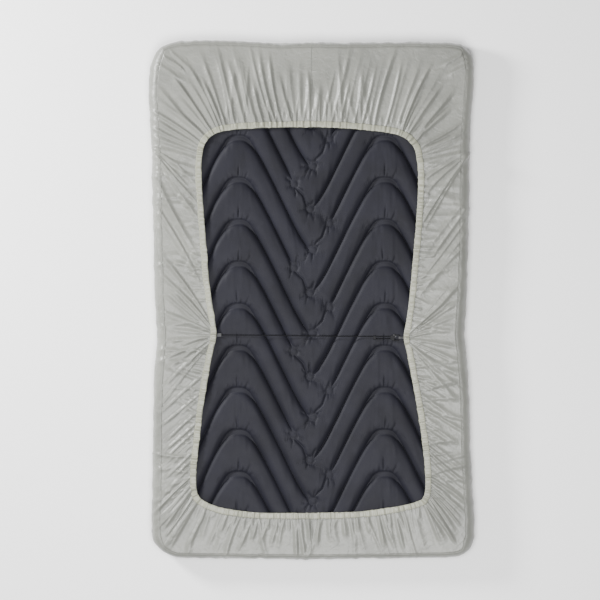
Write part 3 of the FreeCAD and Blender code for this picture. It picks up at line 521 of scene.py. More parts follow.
def spot_creases(across, along, spots, rng):
    """Star-shaped tucks round each weld spot, and jagged valleys from spot to spot."""
    depth = np.zeros_like(across)
    spots = sorted(spots, key=lambda spot: -spot[1])
    for x, y in spots:
        turn = rng.uniform(0, 60)
        for k in range(SPOT_TUCKS):
            angle = math.radians(turn + 360 / SPOT_TUCKS * k + rng.uniform(-14, 14))
            way = np.array([math.sin(angle), math.cos(angle)])
            start = np.array([x, y]) + way * SPOT_TUCK_START
            long, deep = (rng.uniform(*between) for between in SPOT_TUCK)
            add_crease(depth, across, along, start, start + way * long, deep, SPOT_TUCK_WIDTH, SPOT_TUCK_JAG)
    for one, other in zip(spots[:-1], spots[1:]):
        one, other = np.array(one), np.array(other)
        if np.hypot(*(other - one)) < CHAIN_REACH:
            add_crease(depth, across, along, one, other, CHAIN_DEPTH, CHAIN_WIDTH, CHAIN_JAG)
    for x, y in spots:
        depth *= smooth_step(SPOT_RADIUS - 0.002, SPOT_RADIUS + 0.003, np.hypot(across - x, along - y))
    return depth


FULL_RISE = 0.0400       # how far a full chamber's top lies above its welds in the solver's terms
FILL_POWER = 4.0         # the higher, the flatter the top of a full chamber
WELD_LIFT = 0.0140       # the welds lie nearer the underside than the sleeping face
SHALLOW_LIFT = 0.0150    # and nearer still at the arches and weld spots
SHALLOW_ARCH = (0.055, 0.038)
SHALLOW_SPOT = 0.030
WELD_THICK = 0.0012      # the two films together
RIM_BLEND = 0.085        # how far in the weld's height returns to the flange's
TOP_ROOM, SLEEP_ROOM = 0.0012, 0.0014
RIPPLES = [((60, 90), 0.0006), ((24, 36), 0.0008)]       # knots each way, and height
ENDS_FROM = 0.82         # past this the cloth doesn't pull the sides in
PULL_FROM, PULL_TO = 0.30, 0.575
FLANGE_INNER, FLANGE_OUTER = -0.0015, 0.0065
FLANGE_STEP = 0.008


def shallow_share(across, along, spots):
    """One at the tops of the arches and at the weld spots, fading to nothing along the legs."""
    share = np.zeros_like(across)
    for row in FILM_ROWS:
        arch = FIRST_ARCH - PITCH * row
        away = (((np.abs(across) - ARCH_ACROSS) / SHALLOW_ARCH[0]) ** 2
                + ((along - arch) / SHALLOW_ARCH[1]) ** 2)
        share = np.maximum(share, np.exp(-away))
    for x, y in spots:
        share = np.maximum(share, np.exp(-((across - x) ** 2 + (along - y) ** 2) / SHALLOW_SPOT ** 2))
    return share


def drawn_in(across, along, halves):
    """The cloth pulls the pad's sides in a little, most at the waist."""
    moved = across.copy()
    for half in halves:
        order = np.argsort(half.edge[:, 1])
        wide = np.interp(along, half.edge[order, 1], np.abs(half.edge[order, 0]))
        wide = np.where(np.abs(along) > ENDS_FROM, PAD_HALF_WIDTH + EDGE_ROOM, wide)
        pull = np.maximum(PAD_HALF_WIDTH - (wide - EDGE_ROOM), 0)
        share = smooth_step(PULL_FROM, PULL_TO, half.side * across)
        moved -= half.side * pull * share
    return moved


def make_weld_flange(across, along):
    """The flat flange outside the air space, where both cloths are welded together."""
    loop = np.vstack([np.stack([across[:, 0], along[:, 0]], 1)[:-1],
                      np.stack([across[-1], along[-1]], 1)[:-1],
                      np.stack([across[:, -1], along[:, -1]], 1)[::-1][:-1],
                      np.stack([across[0], along[0]], 1)[::-1]])
    loop = resample(loop, spacing=FLANGE_STEP)
    way = np.gradient(loop, axis=0)
    away = np.stack([way[:, 1], -way[:, 0]], 1)
    away /= np.linalg.norm(away, axis=1)[:, None]
    half_thick = (weld_high[2] - weld_low[2]) / 2
    section_across = np.array([FLANGE_INNER, FLANGE_OUTER, FLANGE_OUTER, FLANGE_INNER, FLANGE_INNER])
    section_up = half_thick * np.array([1, 1, -1, -1, 1])
    ring_across = section_across[None, :].repeat(len(loop), 0)
    ring_up = section_up[None, :].repeat(len(loop), 0)
    centre = np.column_stack([loop, np.full(len(loop), PAD_MIDDLE)])
    flange = closed_tube("weld_flange", tube_points(centre, away, ring_across, ring_up))
    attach(flange, "pad")
    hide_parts("perimeter_weld")
    return flange


def make_pad(halves):
    """The pad's two faces as one closed skin, and the flange round it."""
    rng = np.random.default_rng(7)
    across, along, columns, rows = pad_grid()
    welded, spots = weld_mask(across, along, columns, rows)
    rise = inflate(across, along, welded)
    rise = rise / (1 + (rise / FULL_RISE) ** FILL_POWER) ** (1 / FILL_POWER)
    creases = np.maximum(arch_creases(across, along, rng), spot_creases(across, along, spots, rng))
    ripple = sum(value_noise(rise.shape, knots, rng) * high for knots, high in RIPPLES)
    loose = smooth_step(0.006, 0.022, rise)
    from_rim = np.minimum(PAD_HALF_WIDTH - np.abs(across), np.minimum(HEAD_REACH - along, FOOT_REACH + along))
    shallow = shallow_share(across, along, spots)
    weld = PAD_MIDDLE + (WELD_LIFT + SHALLOW_LIFT * shallow) * smooth_step(0.0, RIM_BLEND, from_rim)
    share = rise / FULL_RISE
    upper = share * (PAD_TOP - TOP_ROOM - weld) - creases * smooth_step(0.02, 0.30, share) + ripple * loose
    upper = np.clip(upper, 0, PAD_TOP - weld)
    upper[welded] = 0
    both_films = np.full_like(weld, WELD_THICK / 2)
    both_films[0, :] = both_films[-1, :] = both_films[:, 0] = both_films[:, -1] = 0
    lower = share * (weld - (PAD_MIDDLE - PAD_HALF_HEIGHT) - SLEEP_ROOM)
    across = drawn_in(across, along, halves)
    top = np.stack([across, along, weld + both_films + upper], axis=2)
    bottom = np.stack([across, along, weld - both_films - lower], axis=2)
    uv = np.stack([across, along], axis=2)
    face = grid_piece("inflated_pad", top, uv)
    under = grid_piece("inflated_pad_sleep_face", bottom, uv)
    if not facing_up(face):
        flip_faces(face)
    if facing_up(under):
        flip_faces(under)
    with reshaping(face) as shape:
        shape.from_mesh(under.data)
        join_rim(shape)
        bmesh.ops.dissolve_degenerate(shape, edges=shape.edges, dist=SLIVER)
    bpy.data.objects.remove(under)
    shade_smooth(face)
    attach(face, "pad")
    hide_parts("pad_underside_panel", "pad_sleep_panel")
    return face, make_weld_flange(across, along)


# ---- the fitted sheet: its outlines
# Half outlines run from the middle of the head to the middle of the foot, in millimetres. The
# marked points, by number, are where the cloth's columns start from on both outlines: the head
# corner, the waist and the foot corner.
def in_metres(points):
    return np.array(points) / 1000


RIGHT_EDGE = in_metres([
    (0, 937), (150, 936), (340, 939), (489, 937), (541, 931), (573, 909), (591, 881), (594, 831),
    (591, 762), (586, 690), (577, 560), (576, 400), (574, 220), (568, 50), (559, -90), (558, -134),
    (563, -190), (573, -290), (579, -440), (583, -600), (590, -740), (594, -830), (588, -885),
    (566, -918), (530, -934), (470, -938), (310, -941), (145, -944), (0, -945)])
RIGHT_EDGE_MARKS = (5, 15, 23)
RIGHT_HEM = in_metres([
    (0, 627), (100, 624), (201, 616), (294, 604), (340, 587), (368, 560), (381, 525), (389, 440),
    (382, 290), (370, 150), (357, 11), (346, -75), (336, -138), (349, -200), (364, -280),
    (380, -365), (401, -499), (413, -611), (414, -690), (404, -722), (380, -735), (312, -751),
    (201, -767), (100, -773), (0, -775)])
RIGHT_HEM_MARKS = (5, 12, 19)
LEFT_EDGE = in_metres([
    (0, 937), (-120, 935), (-240, 941), (-362, 945), (-460, 943), (-515, 934), (-556, 912),
    (-580, 868), (-592, 800), (-592, 720), (-582, 560), (-577, 380), (-574, 200), (-570, 40),
    (-564, -80), (-561, -134), (-566, -200), (-574, -320), (-576, -470), (-577, -640), (-580, -760),
    (-583, -815), (-578, -868), (-562, -898), (-532, -922), (-492, -938), (-410, -941),
    (-210, -943), (0, -945)])
LEFT_EDGE_MARKS = (6, 15, 23)
LEFT_HEM = in_metres([
    (0, 627), (-90, 626), (-195, 623), (-297, 616), (-350, 602), (-384, 570), (-396, 526),
    (-399, 452), (-392, 336), (-381, 196), (-372, 80), (-360, -10), (-352, -60), (-344, -127),
    (-356, -185), (-369, -249), (-392, -388), (-408, -527), (-417, -611), (-417, -680),
    (-408, -715), (-381, -735), (-325, -756), (-213, -772), (-110, -775), (0, -775)])
LEFT_HEM_MARKS = (5, 13, 20)
COLUMNS = (190, 260, 200, 150)      # from mark to mark
SEAM_INSET = 0.016       # at the head and the foot
SIDE_SEAM_MORE = 0.015   # how much farther in the seam lies along the sides


def seam_inset(out):
    """How far inside the outline the edge seam lies, for each outward direction."""
    return SEAM_INSET + SIDE_SEAM_MORE * smooth_step(0.5, 0.95, np.abs(out[:, :1]))


SKIRT_BASE = skirt_low[2] + 0.3 * MM
SHEET_MIDDLE = PAD_MIDDLE
CASING_WIDTH = 0.022


def marked_line(points, marks):
    """A smooth outline with the same number of columns between its marks as every other outline."""
    dense = catmull(points, 0.0015)
    stops = [0] + [int(np.argmin(np.hypot(*(dense - points[m]).T))) for m in marks] + [len(dense) - 1]
    parts = []
    for (start, stop), count in zip(zip(stops[:-1], stops[1:]), COLUMNS):
        parts.append(resample(dense[start:stop + 1], count=count + 1)[:-1])
    return np.vstack(parts + [dense[-1:]])


def outward(line, side, soften=7):
    """Unit normals that point away from the middle, softened along the line."""
    along = np.gradient(line, axis=0)
    normal = np.stack([along[:, 1], -along[:, 0]], axis=1) * -side
    pad_ends = np.vstack([normal[:1]] * soften + [normal] + [normal[-1:]] * soften)
    kernel = np.ones(2 * soften + 1) / (2 * soften + 1)
    smooth = np.stack([np.convolve(pad_ends[:, k], kernel, mode="valid") for k in range(2)], axis=1)
    smooth[0, 0] = smooth[-1, 0] = 0
    return smooth / np.linalg.norm(smooth, axis=1)[:, None]


class Half:
    """One half of the sheet: its outlines, with a column of cloth at each of their points."""

    def __init__(self, side, edge, edge_marks, hem, hem_marks):
        self.side, self.name = side, "right" if side > 0 else "left"
        rng = np.random.default_rng(31 + side)
        self.edge = marked_line(edge, edge_marks)
        self.out = outward(self.edge, side)
        wobble = value_noise((len(self.edge), 2), (150, 1), rng)[:, :1] * 0.0012
        wobble[:3] = wobble[-3:] = 0
        self.edge = self.edge + self.out * wobble
        self.seam = self.edge - self.out * seam_inset(self.out)
        self.hem = marked_line(hem, hem_marks)
        self.hem_out = outward(self.hem, side, soften=5)
        self.run = run_along(self.edge)
        self.hem_run = run_along(self.hem)


# ---- folds of the sheet
# A fan of folds, in millimetres: the first and last start, the first and last end, how many, how
# high, and how wide at the start and at the end before NEAR_SHARE and FAR_SHARE narrow them.
NEAR_SHARE, FAR_SHARE = 0.6, 0.75
FANS = [
    # head, between the corners
    ((-300, 612), (-60, 626), (-372, 920), (-130, 915), 10, 4.5, 9, 15),
    ((-55, 626), (50, 626), (-120, 880), (125, 860), 5, 4.5, 8, 16),
    ((60, 624), (290, 604), (120, 920), (372, 915), 10, 4.5, 9, 15),
    # head corners
    ((-305, 612), (-380, 575), (-400, 925), (-585, 735), 8, 6, 7, 15),
    ((300, 600), (372, 556), (390, 925), (588, 730), 8, 6, 7, 15),
    ((-388, 560), (-396, 520), (-588, 700), (-580, 570), 5, 5.5, 6, 9),
    ((374, 552), (384, 510), (588, 690), (578, 560), 5, 6.5, 6, 9),
    # bunched cloth inside the head corners
    ((-572, 850), (-500, 908), (-455, 780), (-415, 835), 3, 6.5, 7, 13),
    ((576, 850), (548, 900), (490, 800), (462, 850), 3, 5.5, 6, 11),
    # from the edge's two tight points to the hem
    ((-580, 556), (-578, 545), (-398, 520), (-384, 240), 9, 4.5, 5, 13),
    ((576, 540), (574, 528), (386, 500), (372, 170), 10, 4.5, 5, 13),
    ((-570, 480), (-566, 300), (-384, 140), (-362, -30), 5, 3.5, 12, 12),
    ((566, 400), (562, 200), (368, 110), (350, -50), 5, 3.5, 12, 12),
    # the waist points
    ((-346, -125), (-346, -127), (-560, 180), (-556, -105), 9, 4.2, 4, 13),
    ((338, -136), (338, -138), (562, 140), (556, -125), 9, 4.2, 4, 13),
    ((-347, -132), (-348, -140), (-555, -150), (-566, -420), 9, 4.2, 4, 13),
    ((340, -142), (342, -150), (555, -155), (566, -420), 9, 4.2, 4, 13),
    # below the waist
    ((-372, -250), (-414, -600), (-560, -400), (-574, -760), 13, 3.8, 8, 13),
    ((362, -250), (410, -600), (560, -370), (578, -740), 13, 3.8, 8, 13),
    # foot corners
    ((-417, -620), (-402, -724), (-578, -780), (-520, -925), 13, 6.5, 6, 10),
    ((412, -630), (400, -726), (588, -740), (480, -930), 10, 6, 6, 12),
    ((404, -722), (404, -722), (545, -915), (545, -915), 1, 10, 8, 10),
    # foot, between the corners
    ((-385, -735), (-80, -772), (-480, -925), (-110, -925), 11, 3.6, 8, 13),
    ((-60, -774), (370, -738), (-60, -920), (430, -920), 13, 3.6, 8, 13),
]


def fan_folds(rng):
    folds = []
    for *ends, count, high, near, far in FANS:
        first, last, first_end, last_end = in_metres(ends)
        for k in range(count):
            share = (k + 0.5) / count
            place, reach = (np.clip(share + rng.uniform(-0.42, 0.42) / count, 0, 1) for _ in range(2))
            start = first * (1 - place) + last * place
            end = first_end * (1 - reach) + last_end * reach
            stop = rng.uniform(0.55, 1.08) if k % 2 else rng.uniform(0.85, 1.12)
            strength = rng.uniform(0.7, 1.9) * high
            spread = rng.uniform(0.7, 1.3)
            folds.append((start, start + (end - start) * stop, strength * MM, near * spread * MM * NEAR_SHARE,
                          far * spread * MM * FAR_SHARE, rng.uniform(-0.035, 0.035)))
    return folds


def gather_folds(half, rng):
    """Folds that the elastic draws in all along the hem: most are short, and some run far."""
    folds, at = [], 0.006
    while at < half.hem_run[-1] - 0.006:
        k = int(np.searchsorted(half.hem_run, at))
        start, away = half.hem[k], half.hem_out[k]
        lean = rng.normal(0, 0.20)
        away = np.array([away[0] - lean * away[1], away[1] + lean * away[0]])
        runs_far = rng.random() < 0.30
        long = rng.uniform(0.13, 0.30) if runs_far else rng.uniform(0.035, 0.115)
        far = rng.uniform(9, 18) if runs_far else rng.uniform(4, 8)
        waist = np.exp(-((start[1] + 0.132) / 0.030) ** 2)
        high = rng.uniform(1.6, 4.6) * MM * (1 - 0.5 * waist)
        folds.append((start - away * 0.004, start + away * long, high, 3.4 * MM, far * MM,
                      rng.uniform(-0.05, 0.05)))
        at += rng.uniform(0.009, 0.019)
    return folds


def fold_height(x, y, folds):
    """How high all the folds together lift the cloth at each place."""
    height = np.zeros_like(x)
    flat_x, flat_y, out = x.ravel(), y.ravel(), height.ravel()
    for start, end, high, near, far, bow in folds:
        run = end - start
        long = np.hypot(*run)
        margin = 2.6 * max(near, far) + abs(bow) * long
        low, top = np.minimum(start, end) - margin, np.maximum(start, end) + margin
        close = np.flatnonzero((flat_x > low[0]) & (flat_x < top[0]) & (flat_y > low[1]) & (flat_y < top[1]))
        if not len(close):
            continue
        dx, dy = flat_x[close] - start[0], flat_y[close] - start[1]
        share = (dx * run[0] + dy * run[1]) / long ** 2
        inside = np.clip(share, 0, 1)
        off = (dx * run[1] - dy * run[0]) / long - bow * long * 4 * inside * (1 - inside)
        width = near + (far - near) * inside
        q = off / width
        crest = 0.55 * np.exp(-q ** 2) + 0.45 * np.exp(-1.9 * np.abs(q))
        crest -= 0.22 * np.exp(-((q - 1.7) / 0.8) ** 2)      # the dip along one side
        fade = smooth_step(-0.03, 0.06, share) * (1 - smooth_step(0.66, 1.04, share))
        out[close] += high * crest * fade
    return out.reshape(x.shape)


FOLD_LIMIT, DIP_SHARE = 0.013, 0.4
CLOTH_RISE = 0.0012


def soften_height(height):
    """Keeps crossing folds from piling up."""
    return np.where(height > 0, FOLD_LIMIT * np.tanh(height / FOLD_LIMIT), DIP_SHARE * height)


def broad_waves(x, y):
    """The slow rise and fall of loose cloth."""
    return 0.0011 * (np.sin(9 * x + 5 * y) * np.cos(7 * y - 4 * x + 1) + np.sin(17 * x - 11 * y + 2) * 0.5)


halves = [Half(-1, LEFT_EDGE, LEFT_EDGE_MARKS, LEFT_HEM, LEFT_HEM_MARKS),
          Half(1, RIGHT_EDGE, RIGHT_EDGE_MARKS, RIGHT_HEM, RIGHT_HEM_MARKS)]
fold_rng = np.random.default_rng(11)
FOLDS = fan_folds(fold_rng)
for half in halves:
    FOLDS += gather_folds(half, fold_rng)


def cloth_height(points, from_hem):
    x, y = points[..., 0], points[..., 1]
    lift = soften_height(fold_height(x, y, FOLDS)) + broad_waves(x, y)
    held = 0.45 + 0.55 * smooth_step(0.010, 0.045, from_hem)
    return SKIRT_BASE + np.maximum(lift * held + CLOTH_RISE, 0.0)


# ---- the fitted sheet: its pieces
SKIRT_ROWS, GUSSET_ROWS, PANEL_ROWS, CASING_RING = 46, 26, 24, 17
SKIRT_MAP, GUSSET_MAP = 0.25, 0.125       # how far the weave's map runs across
LOWER_INSET = SEAM_INSET + 0.003
PANEL_HEIGHT = 0.7 * MM
LOWEST = 0.6 * MM
PUCKERS = [((260, 3), 0.0011), ((90, 4), 0.0016)]      # knots each way, and height
SPINE_REACH = 0.42
SPINE_STEP = 0.020        # shared places on the middle line, so that both sides join there
CASING_STEP, CASING_CLOTH = 0.0022, 0.0004
RUFFLE_LENGTH, SWAY_LENGTH, PUCKER_LENGTH = 0.0085, 0.030, 0.0065
SEAM_SIZE = (0.0026, 0.0011)              # a ridge's width and height
ELASTIC_SIZE = (0.009, 0.0010)
ELASTIC_STEP, ELASTIC_LIFT = 0.006, 0.0022


def thicken(piece, thickness=CLOTH):
    """Cloth with a real thickness, on the side that its faces turn away from."""
    wall = piece.modifiers.new("cloth_thickness", "SOLIDIFY")
    wall.thickness, wall.offset = thickness, -1.0
    wall.use_even_offset = False


def make_skirt(half):
    """The cloth turned under the pad, from the edge seam to the hem."""
    share = np.linspace(0, 1, SKIRT_ROWS)[None, :, None] ** 0.92
    plan = half.seam[:, None, :] * (1 - share) + half.hem[:, None, :] * share
    inward = plan - half.hem[:, None, :]
    from_hem = np.abs((inward * half.hem_out[:, None, :]).sum(2))
    height = cloth_height(plan, from_hem)
    uv = cloth_map(half.run, np.linspace(0, SKIRT_MAP, SKIRT_ROWS))
    piece = grid_piece(f"skirt_{half.name}_cloth", lifted(plan, height), uv)
    if not facing_up(piece):
        flip_faces(piece)
    thicken(piece)
    half.seam_height = height[:, 0]
    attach(piece, "pad")
    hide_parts(f"skirt_{half.name}")
    return piece


def all_round(values):
    """One closed ring of what both halves of the sheet have under the same name."""
    left, right = (getattr(half, values) for half in halves)
    return np.concatenate([right, left[-2:0:-1], right[:1]])


def make_gusset():
    """The band round the pad's edge, from the edge seam over the side to the sleeping face."""
    edge, out, top = (all_round(values) for values in ("edge", "out", "seam_height"))
    turn = np.linspace(0, math.pi, GUSSET_ROWS)[None, :]
    upper = turn <= math.pi / 2
    inset = np.where(upper, seam_inset(out), LOWER_INSET) * (1 - np.sin(turn))
    rise = np.where(upper, top[:, None] - SHEET_MIDDLE, SHEET_MIDDLE - PANEL_HEIGHT)
    height = SHEET_MIDDLE + rise * np.cos(turn)
    plan = edge[:, None, :] - out[:, None, :] * inset[..., None]
    lift = soften_height(fold_height(plan[..., 0], plan[..., 1], FOLDS)) + CLOTH_RISE
    at_seam = lift[:, :1]
    rng = np.random.default_rng(5)
    puckers = sum(value_noise(lift.shape, knots, rng) * high for knots, high in PUCKERS)
    fade = np.sin(np.clip(turn, 0, math.pi)) ** 0.8
    proud = (lift - at_seam * np.cos(turn).clip(0)) * np.cos(turn / 2).clip(0) * 0.8 + puckers * fade
    proud[:, 0] = 0
    proud[-1] = proud[0]
    plan = plan + out[:, None, :] * (proud * np.sin(turn))[..., None]
    height = np.maximum(height + proud * np.cos(turn), LOWEST)
    uv = cloth_map(run_along(edge), np.linspace(0, GUSSET_MAP, GUSSET_ROWS))
    piece = grid_piece("edge_band", lifted(plan, height), uv)
    with reshaping(piece) as shape:
        join_rim(shape)
    middle = piece.data.polygons[0]
    if Vector((middle.center.x, middle.center.y, 0)).dot(middle.normal) < 0 and middle.normal.z < 0:
        flip_faces(piece)
    thicken(piece)
    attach(piece, "pad")
    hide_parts("sheet_gusset")
    return piece, edge, out, top


def make_sleep_panel(edge, out):
    """The flat cloth that lies under the sleeping face."""
    ring = edge - out * LOWER_INSET
    share = np.linspace(0, 1, PANEL_ROWS)[None, :, None] ** 0.9
    steps = np.round(np.clip(ring[:, 1], -SPINE_REACH, SPINE_REACH) / SPINE_STEP)
    spine = np.stack([np.zeros(len(ring)), steps * SPINE_STEP], axis=1)
    plan = ring[:, None, :] * (1 - share) + spine[:, None, :] * share
    points = lifted(plan, np.full(plan.shape[:2], PANEL_HEIGHT))
    piece = grid_piece("sleeping_face_cloth", points, plan.copy())
    with reshaping(piece) as shape:
        bmesh.ops.remove_doubles(shape, verts=shape.verts, dist=JOIN)
        bmesh.ops.dissolve_degenerate(shape, edges=shape.edges, dist=SLIVER)
    if facing_up(piece):
        flip_faces(piece)
    thicken(piece)
    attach(piece, "pad")
    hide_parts("sheet_sleep_panel")
    return piece


def tube_points(centre, across, ring_across, ring_up):
    """Rings round a centre line: each ring's places are given across the line and upwards."""
    plan = centre[:, None, :2] + across[:, None, :] * ring_across[..., None]
    return lifted(plan, centre[:, 2:3] + ring_up)


def closed_tube(name, points, uv=None):
    piece = grid_piece(name, points, uv)
    with reshaping(piece) as shape:
        join_rim(shape, SLIVER)
        open_ends = [e for e in shape.edges if e.is_boundary]
        if open_ends:
            bmesh.ops.holes_fill(shape, edges=open_ends)
        bmesh.ops.recalc_face_normals(shape, faces=shape.faces)
    shade_smooth(piece)
    return piece


def make_casing(half):
    """The hem's tunnel: cloth folded over the elastic, drawn into small ruffles."""
    rng = np.random.default_rng(17 + half.side)
    line = resample(half.hem, spacing=CASING_STEP)
    away = outward(line, half.side, soften=9)
    count = len(line)
    turn = np.radians(np.linspace(10, 350, CASING_RING))      # open where it is sewn to the skirt
    run = np.arange(count) * CASING_STEP
    ruffle, sway = (value_noise((count, 2), (int(run[-1] / long), 1), rng)[:, 0]
                    for long in (RUFFLE_LENGTH, SWAY_LENGTH))
    width = CASING_WIDTH / 2 * (1 + 0.10 * sway)
    middle = line + away * (CASING_WIDTH / 2 + 0.0012 * ruffle[:, None] * 0.8)
    flat = np.stack([middle, middle], axis=1)
    base = cloth_height(flat, np.full(flat.shape[:2], CASING_WIDTH / 2))[:, 0]
    thick = 0.0017 + 0.0006 * ruffle
    ring_across = width[:, None] * np.cos(turn)[None, :]
    pucker = value_noise((count, CASING_RING), (int(run[-1] / PUCKER_LENGTH), 4), rng) * 0.0006
    up = np.sign(np.sin(turn)) * np.abs(np.sin(turn)) ** 0.7
    ring_up = (thick[:, None] + pucker) * up[None, :] + 0.0024
    centre = np.column_stack([middle, base])
    points = tube_points(centre, away, ring_across, ring_up)
    piece = grid_piece(f"hem_tunnel_{half.name}", points, cloth_map(run, turn * 0.005))
    with reshaping(piece) as shape:
        topmost = max(shape.faces, key=lambda face: face.calc_center_median().z)
        if topmost.normal.z < 0:
            bmesh.ops.reverse_faces(shape, faces=shape.faces)
    thicken(piece, CASING_CLOTH)
    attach(piece, "pad")
    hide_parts(f"hem_casing_{half.name}")
    half.hem_centre = centre
    return piece


def make_ridge(name, line, width, height, node, slot="sheet_cloth"):
    """A narrow seam allowance: a low half-round strip along a line of points."""
    along = np.gradient(line[:, :2], axis=0)
    across = np.stack([along[:, 1], -along[:, 0]], axis=1)
    across /= np.linalg.norm(across, axis=1)[:, None]
    turn = np.linspace(0, 2 * math.pi, 9)
    count = len(line)
    ring_across = np.repeat(width / 2 * np.cos(turn)[None, :], count, axis=0)
    ring_up = np.repeat(height / 2 * np.sin(turn)[None, :] + height * 0.35, count, axis=0)
    piece = closed_tube(name, tube_points(line, across, ring_across, ring_up))
    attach(piece, "pad")
    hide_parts(node)
    return piece


pad, weld_flange = make_pad(halves)
skirts = [make_skirt(half) for half in halves]
gusset, sheet_edge, sheet_out, sheet_top = make_gusset()
sleep_cloth = make_sleep_panel(sheet_edge, sheet_out)
casings = [make_casing(half) for half in halves]
seam_line = np.column_stack([sheet_edge - sheet_out * seam_inset(sheet_out), sheet_top])
edge_seam = make_ridge("edge_seam", seam_line, *SEAM_SIZE, "skirt_edge_seam")


def middle_seam(name, start, end, node):
    """The seam on the middle line, from the hem to the edge seam."""
    plan = np.stack([np.zeros(60), np.linspace(start, end, 60)], axis=1)
    flat = np.stack([plan, plan], axis=1)
    height = cloth_height(flat, np.abs(flat[..., 1] - start))[:, 0]
    return make_ridge(name, np.column_stack([plan, height]), *SEAM_SIZE, node)


head_seam = middle_seam("head_seam", RIGHT_HEM[0][1] + CASING_WIDTH,
                        RIGHT_EDGE[0][1] - SEAM_INSET, "skirt_head_seam")
foot_seam = middle_seam("foot_seam", RIGHT_HEM[-1][1] - CASING_WIDTH,
                        RIGHT_EDGE[-1][1] + SEAM_INSET, "skirt_foot_seam")


def make_elastic():
    """The elastic that runs inside both hem tunnels."""
    line = resample(all_round("hem_centre"), spacing=ELASTIC_STEP)
    line[:, 2] += ELASTIC_LIFT
    return make_ridge("hem_elastic_band", line, *ELASTIC_SIZE, "hem_elastic", "elastic")


elastic = make_elastic()


# ---- materials
class Finish:
    """A material with short ways to add nodes to its tree."""

    def __init__(self, name, base, roughness, **inputs):
        self.material = bpy.data.materials.new(name)
        self.material.use_nodes = True
        self.tree = self.material.node_tree
        self.shader = self.tree.nodes["Principled BSDF"]
        self.shader.inputs["Base Color"].default_value = (*base, 1)
        self.shader.inputs["Roughness"].default_value = roughness
        for key, value in inputs.items():
            self.shader.inputs[key.replace("_", " ")].default_value = value
        self.height = None

    def node(self, kind, **settings):
        made = self.tree.nodes.new(kind)
        for key, value in settings.items():
            if key in made.inputs:
                made.inputs[key].default_value = value
            else:
                setattr(made, key, value)
        return made

    def link(self, source, target):
        self.tree.links.new(source, target)

    def place(self, own_map=False):
        return self.node("ShaderNodeTexCoord").outputs["UV" if own_map else "Object"]

    def noise(self, scale, detail=3.0, where=None, distortion=0.0):
        made = self.node("ShaderNodeTexNoise", Scale=scale, Detail=detail, Distortion=distortion)
        self.link(where or self.place(), made.inputs["Vector"])
        return made.outputs["Fac"]

    def colour(self, factor, dark, light):
        ramp = self.node("ShaderNodeValToRGB")
        for stop, place, tone in zip(ramp.color_ramp.elements, (0.35, 0.65), (dark, light)):
            stop.position, stop.color = place, (*tone, 1)
        self.link(factor, ramp.inputs["Fac"])
        self.link(ramp.outputs["Color"], self.shader.inputs["Base Color"])

    def vary_roughness(self, factor, low, high):
        spread = self.node("ShaderNodeMapRange")
        spread.inputs["To Min"].default_value, spread.inputs["To Max"].default_value = low, high
        self.link(factor, spread.inputs["Value"])
        self.link(spread.outputs["Result"], self.shader.inputs["Roughness"])

    def bump(self, factor, distance, strength=1.0):
        made = self.node("ShaderNodeBump", Strength=strength, Distance=distance)
        self.link(factor, made.inputs["Height"])
        if self.height:
            self.link(self.height, made.inputs["Normal"])
        self.height = made.outputs["Normal"]
        self.link(self.height, self.shader.inputs["Normal"])

    def weave(self, pitch, where):
        """Warp and weft as two crossed sets of rounded threads."""
        threads = []
        for direction in ("X", "Y"):
            wave = self.node("ShaderNodeTexWave", wave_type="BANDS", bands_direction=direction,
                             wave_profile="SIN", Scale=0.05 / pitch * 2 * math.pi)
            self.link(where, wave.inputs["Vector"])
            threads.append(wave.outputs["Fac"])
        mix = self.node("ShaderNodeMath", operation="MAXIMUM")
        self.link(threads[0], mix.inputs[0])
        self.link(threads[1], mix.inputs[1])
        return mix.outputs["Value"]

    def give(self, *pieces):
        for piece in pieces:
            if len(piece.data.materials) == 0:
                piece.data.materials.append(self.material)
            for slot in piece.material_slots:
                slot.material = self.material


def pad_cloth():
    finish = Finish("charcoal_coated_polyester", (0.008, 0.008, 0.012), 0.60, Sheen_Weight=0.02,
                    Sheen_Roughness=0.45, Specular_IOR_Level=0.15)
    where = finish.place(own_map=True)
    finish.colour(finish.noise(9, 4), (0.0070, 0.0070, 0.0105), (0.0095, 0.0095, 0.0145))
    finish.vary_roughness(finish.noise(30, 4), 0.55, 0.65)
    finish.bump(finish.noise(140, 3, distortion=0.6), 0.0006, 0.25)
    finish.bump(finish.weave(0.0009, where), 0.00012, 0.35)
    return finish


def sheet_cloth(name, dark, light, crinkle):
    finish = Finish(name, light, 0.38, Sheen_Weight=0.12, Sheen_Roughness=0.4, Specular_IOR_Level=0.5)
    where = finish.place(own_map=True)
    finish.colour(finish.noise(7, 4), dark, light)
    finish.vary_roughness(finish.noise(22, 3), 0.34, 0.45)
    finish.bump(finish.noise(26, 4, distortion=1.2), 0.0035, crinkle)
    finish.bump(finish.noise(95, 4, distortion=1.0), 0.0012, crinkle)
    finish.bump(finish.weave(0.0006, where), 0.0001, 0.3)
    return finish


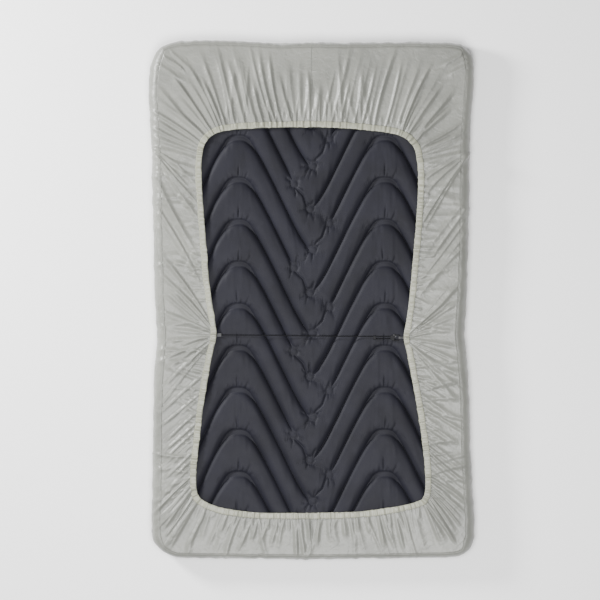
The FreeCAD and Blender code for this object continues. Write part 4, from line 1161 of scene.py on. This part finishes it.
charcoal = pad_cloth()
sage = sheet_cloth("sage_satin_cloth", (0.140, 0.143, 0.127), (0.172, 0.175, 0.155), 0.60)
cream = sheet_cloth("hem_tape_cloth", (0.185, 0.188, 0.142), (0.225, 0.227, 0.172), 0.25)
charcoal.give(pad, weld_flange)
sage.give(*skirts, gusset, sleep_cloth, edge_seam, head_seam, foot_seam)
cream.give(*casings)


def cord_finish():
    finish = Finish("braided_black_cord", (0.005, 0.005, 0.006), 0.72, Specular_IOR_Level=0.10)
    finish.colour(finish.noise(900, 2), (0.003, 0.003, 0.004), (0.007, 0.007, 0.008))
    finish.bump(finish.noise(1100, 2), 0.0004, 0.6)
    return finish


def moulded(name, base, roughness, shine=0.5):
    finish = Finish(name, base, roughness, Specular_IOR_Level=shine)
    light = tuple(min(1, c * 1.18 + 0.004) for c in base)
    finish.colour(finish.noise(160, 4), base, light)
    finish.vary_roughness(finish.noise(300, 3), roughness - 0.06, roughness + 0.08)
    finish.bump(finish.noise(1400, 2), 0.00008, 0.4)
    return finish


def woven_tape():
    finish = Finish("black_woven_tape", (0.02, 0.02, 0.022), 0.7, Sheen_Weight=0.3)
    finish.colour(finish.noise(500, 3), (0.014, 0.014, 0.016), (0.032, 0.032, 0.034))
    finish.bump(finish.weave(0.0008, finish.place()), 0.00025, 0.7)
    return finish


def brushed_steel():
    finish = Finish("spring_steel", (0.066, 0.066, 0.067), 0.32, Metallic=1.0)
    finish.vary_roughness(finish.noise(700, 3), 0.26, 0.42)
    finish.bump(finish.noise(1500, 2), 0.00003, 0.3)
    return finish


def parts(*names):
    return [bpy.data.objects[name] for name in names]


cord_finish().give(cord)
woven_tape().give(*parts("cord_anchor_tab", "hook_anchor_loop"))
moulded("black_nylon", (0.004, 0.004, 0.005), 0.50, shine=0.10).give(
    *parts("hook_body", "hook_gate", "cord_crimp", "valve_knob"))
moulded("grey_nylon", (0.12, 0.12, 0.125), 0.45).give(*parts("valve_body"))
moulded("white_acetal", (0.62, 0.62, 0.60), 0.35).give(*parts("valve_plunger", "knob_snap_ring"))
moulded("seal_rubber", (0.02, 0.02, 0.02), 0.6).give(*parts("plunger_seal", "body_seal"))
moulded("white_elastic", (0.27, 0.27, 0.225), 0.7).give(elastic)
brushed_steel().give(*parts("gate_pin", "gate_spring"))
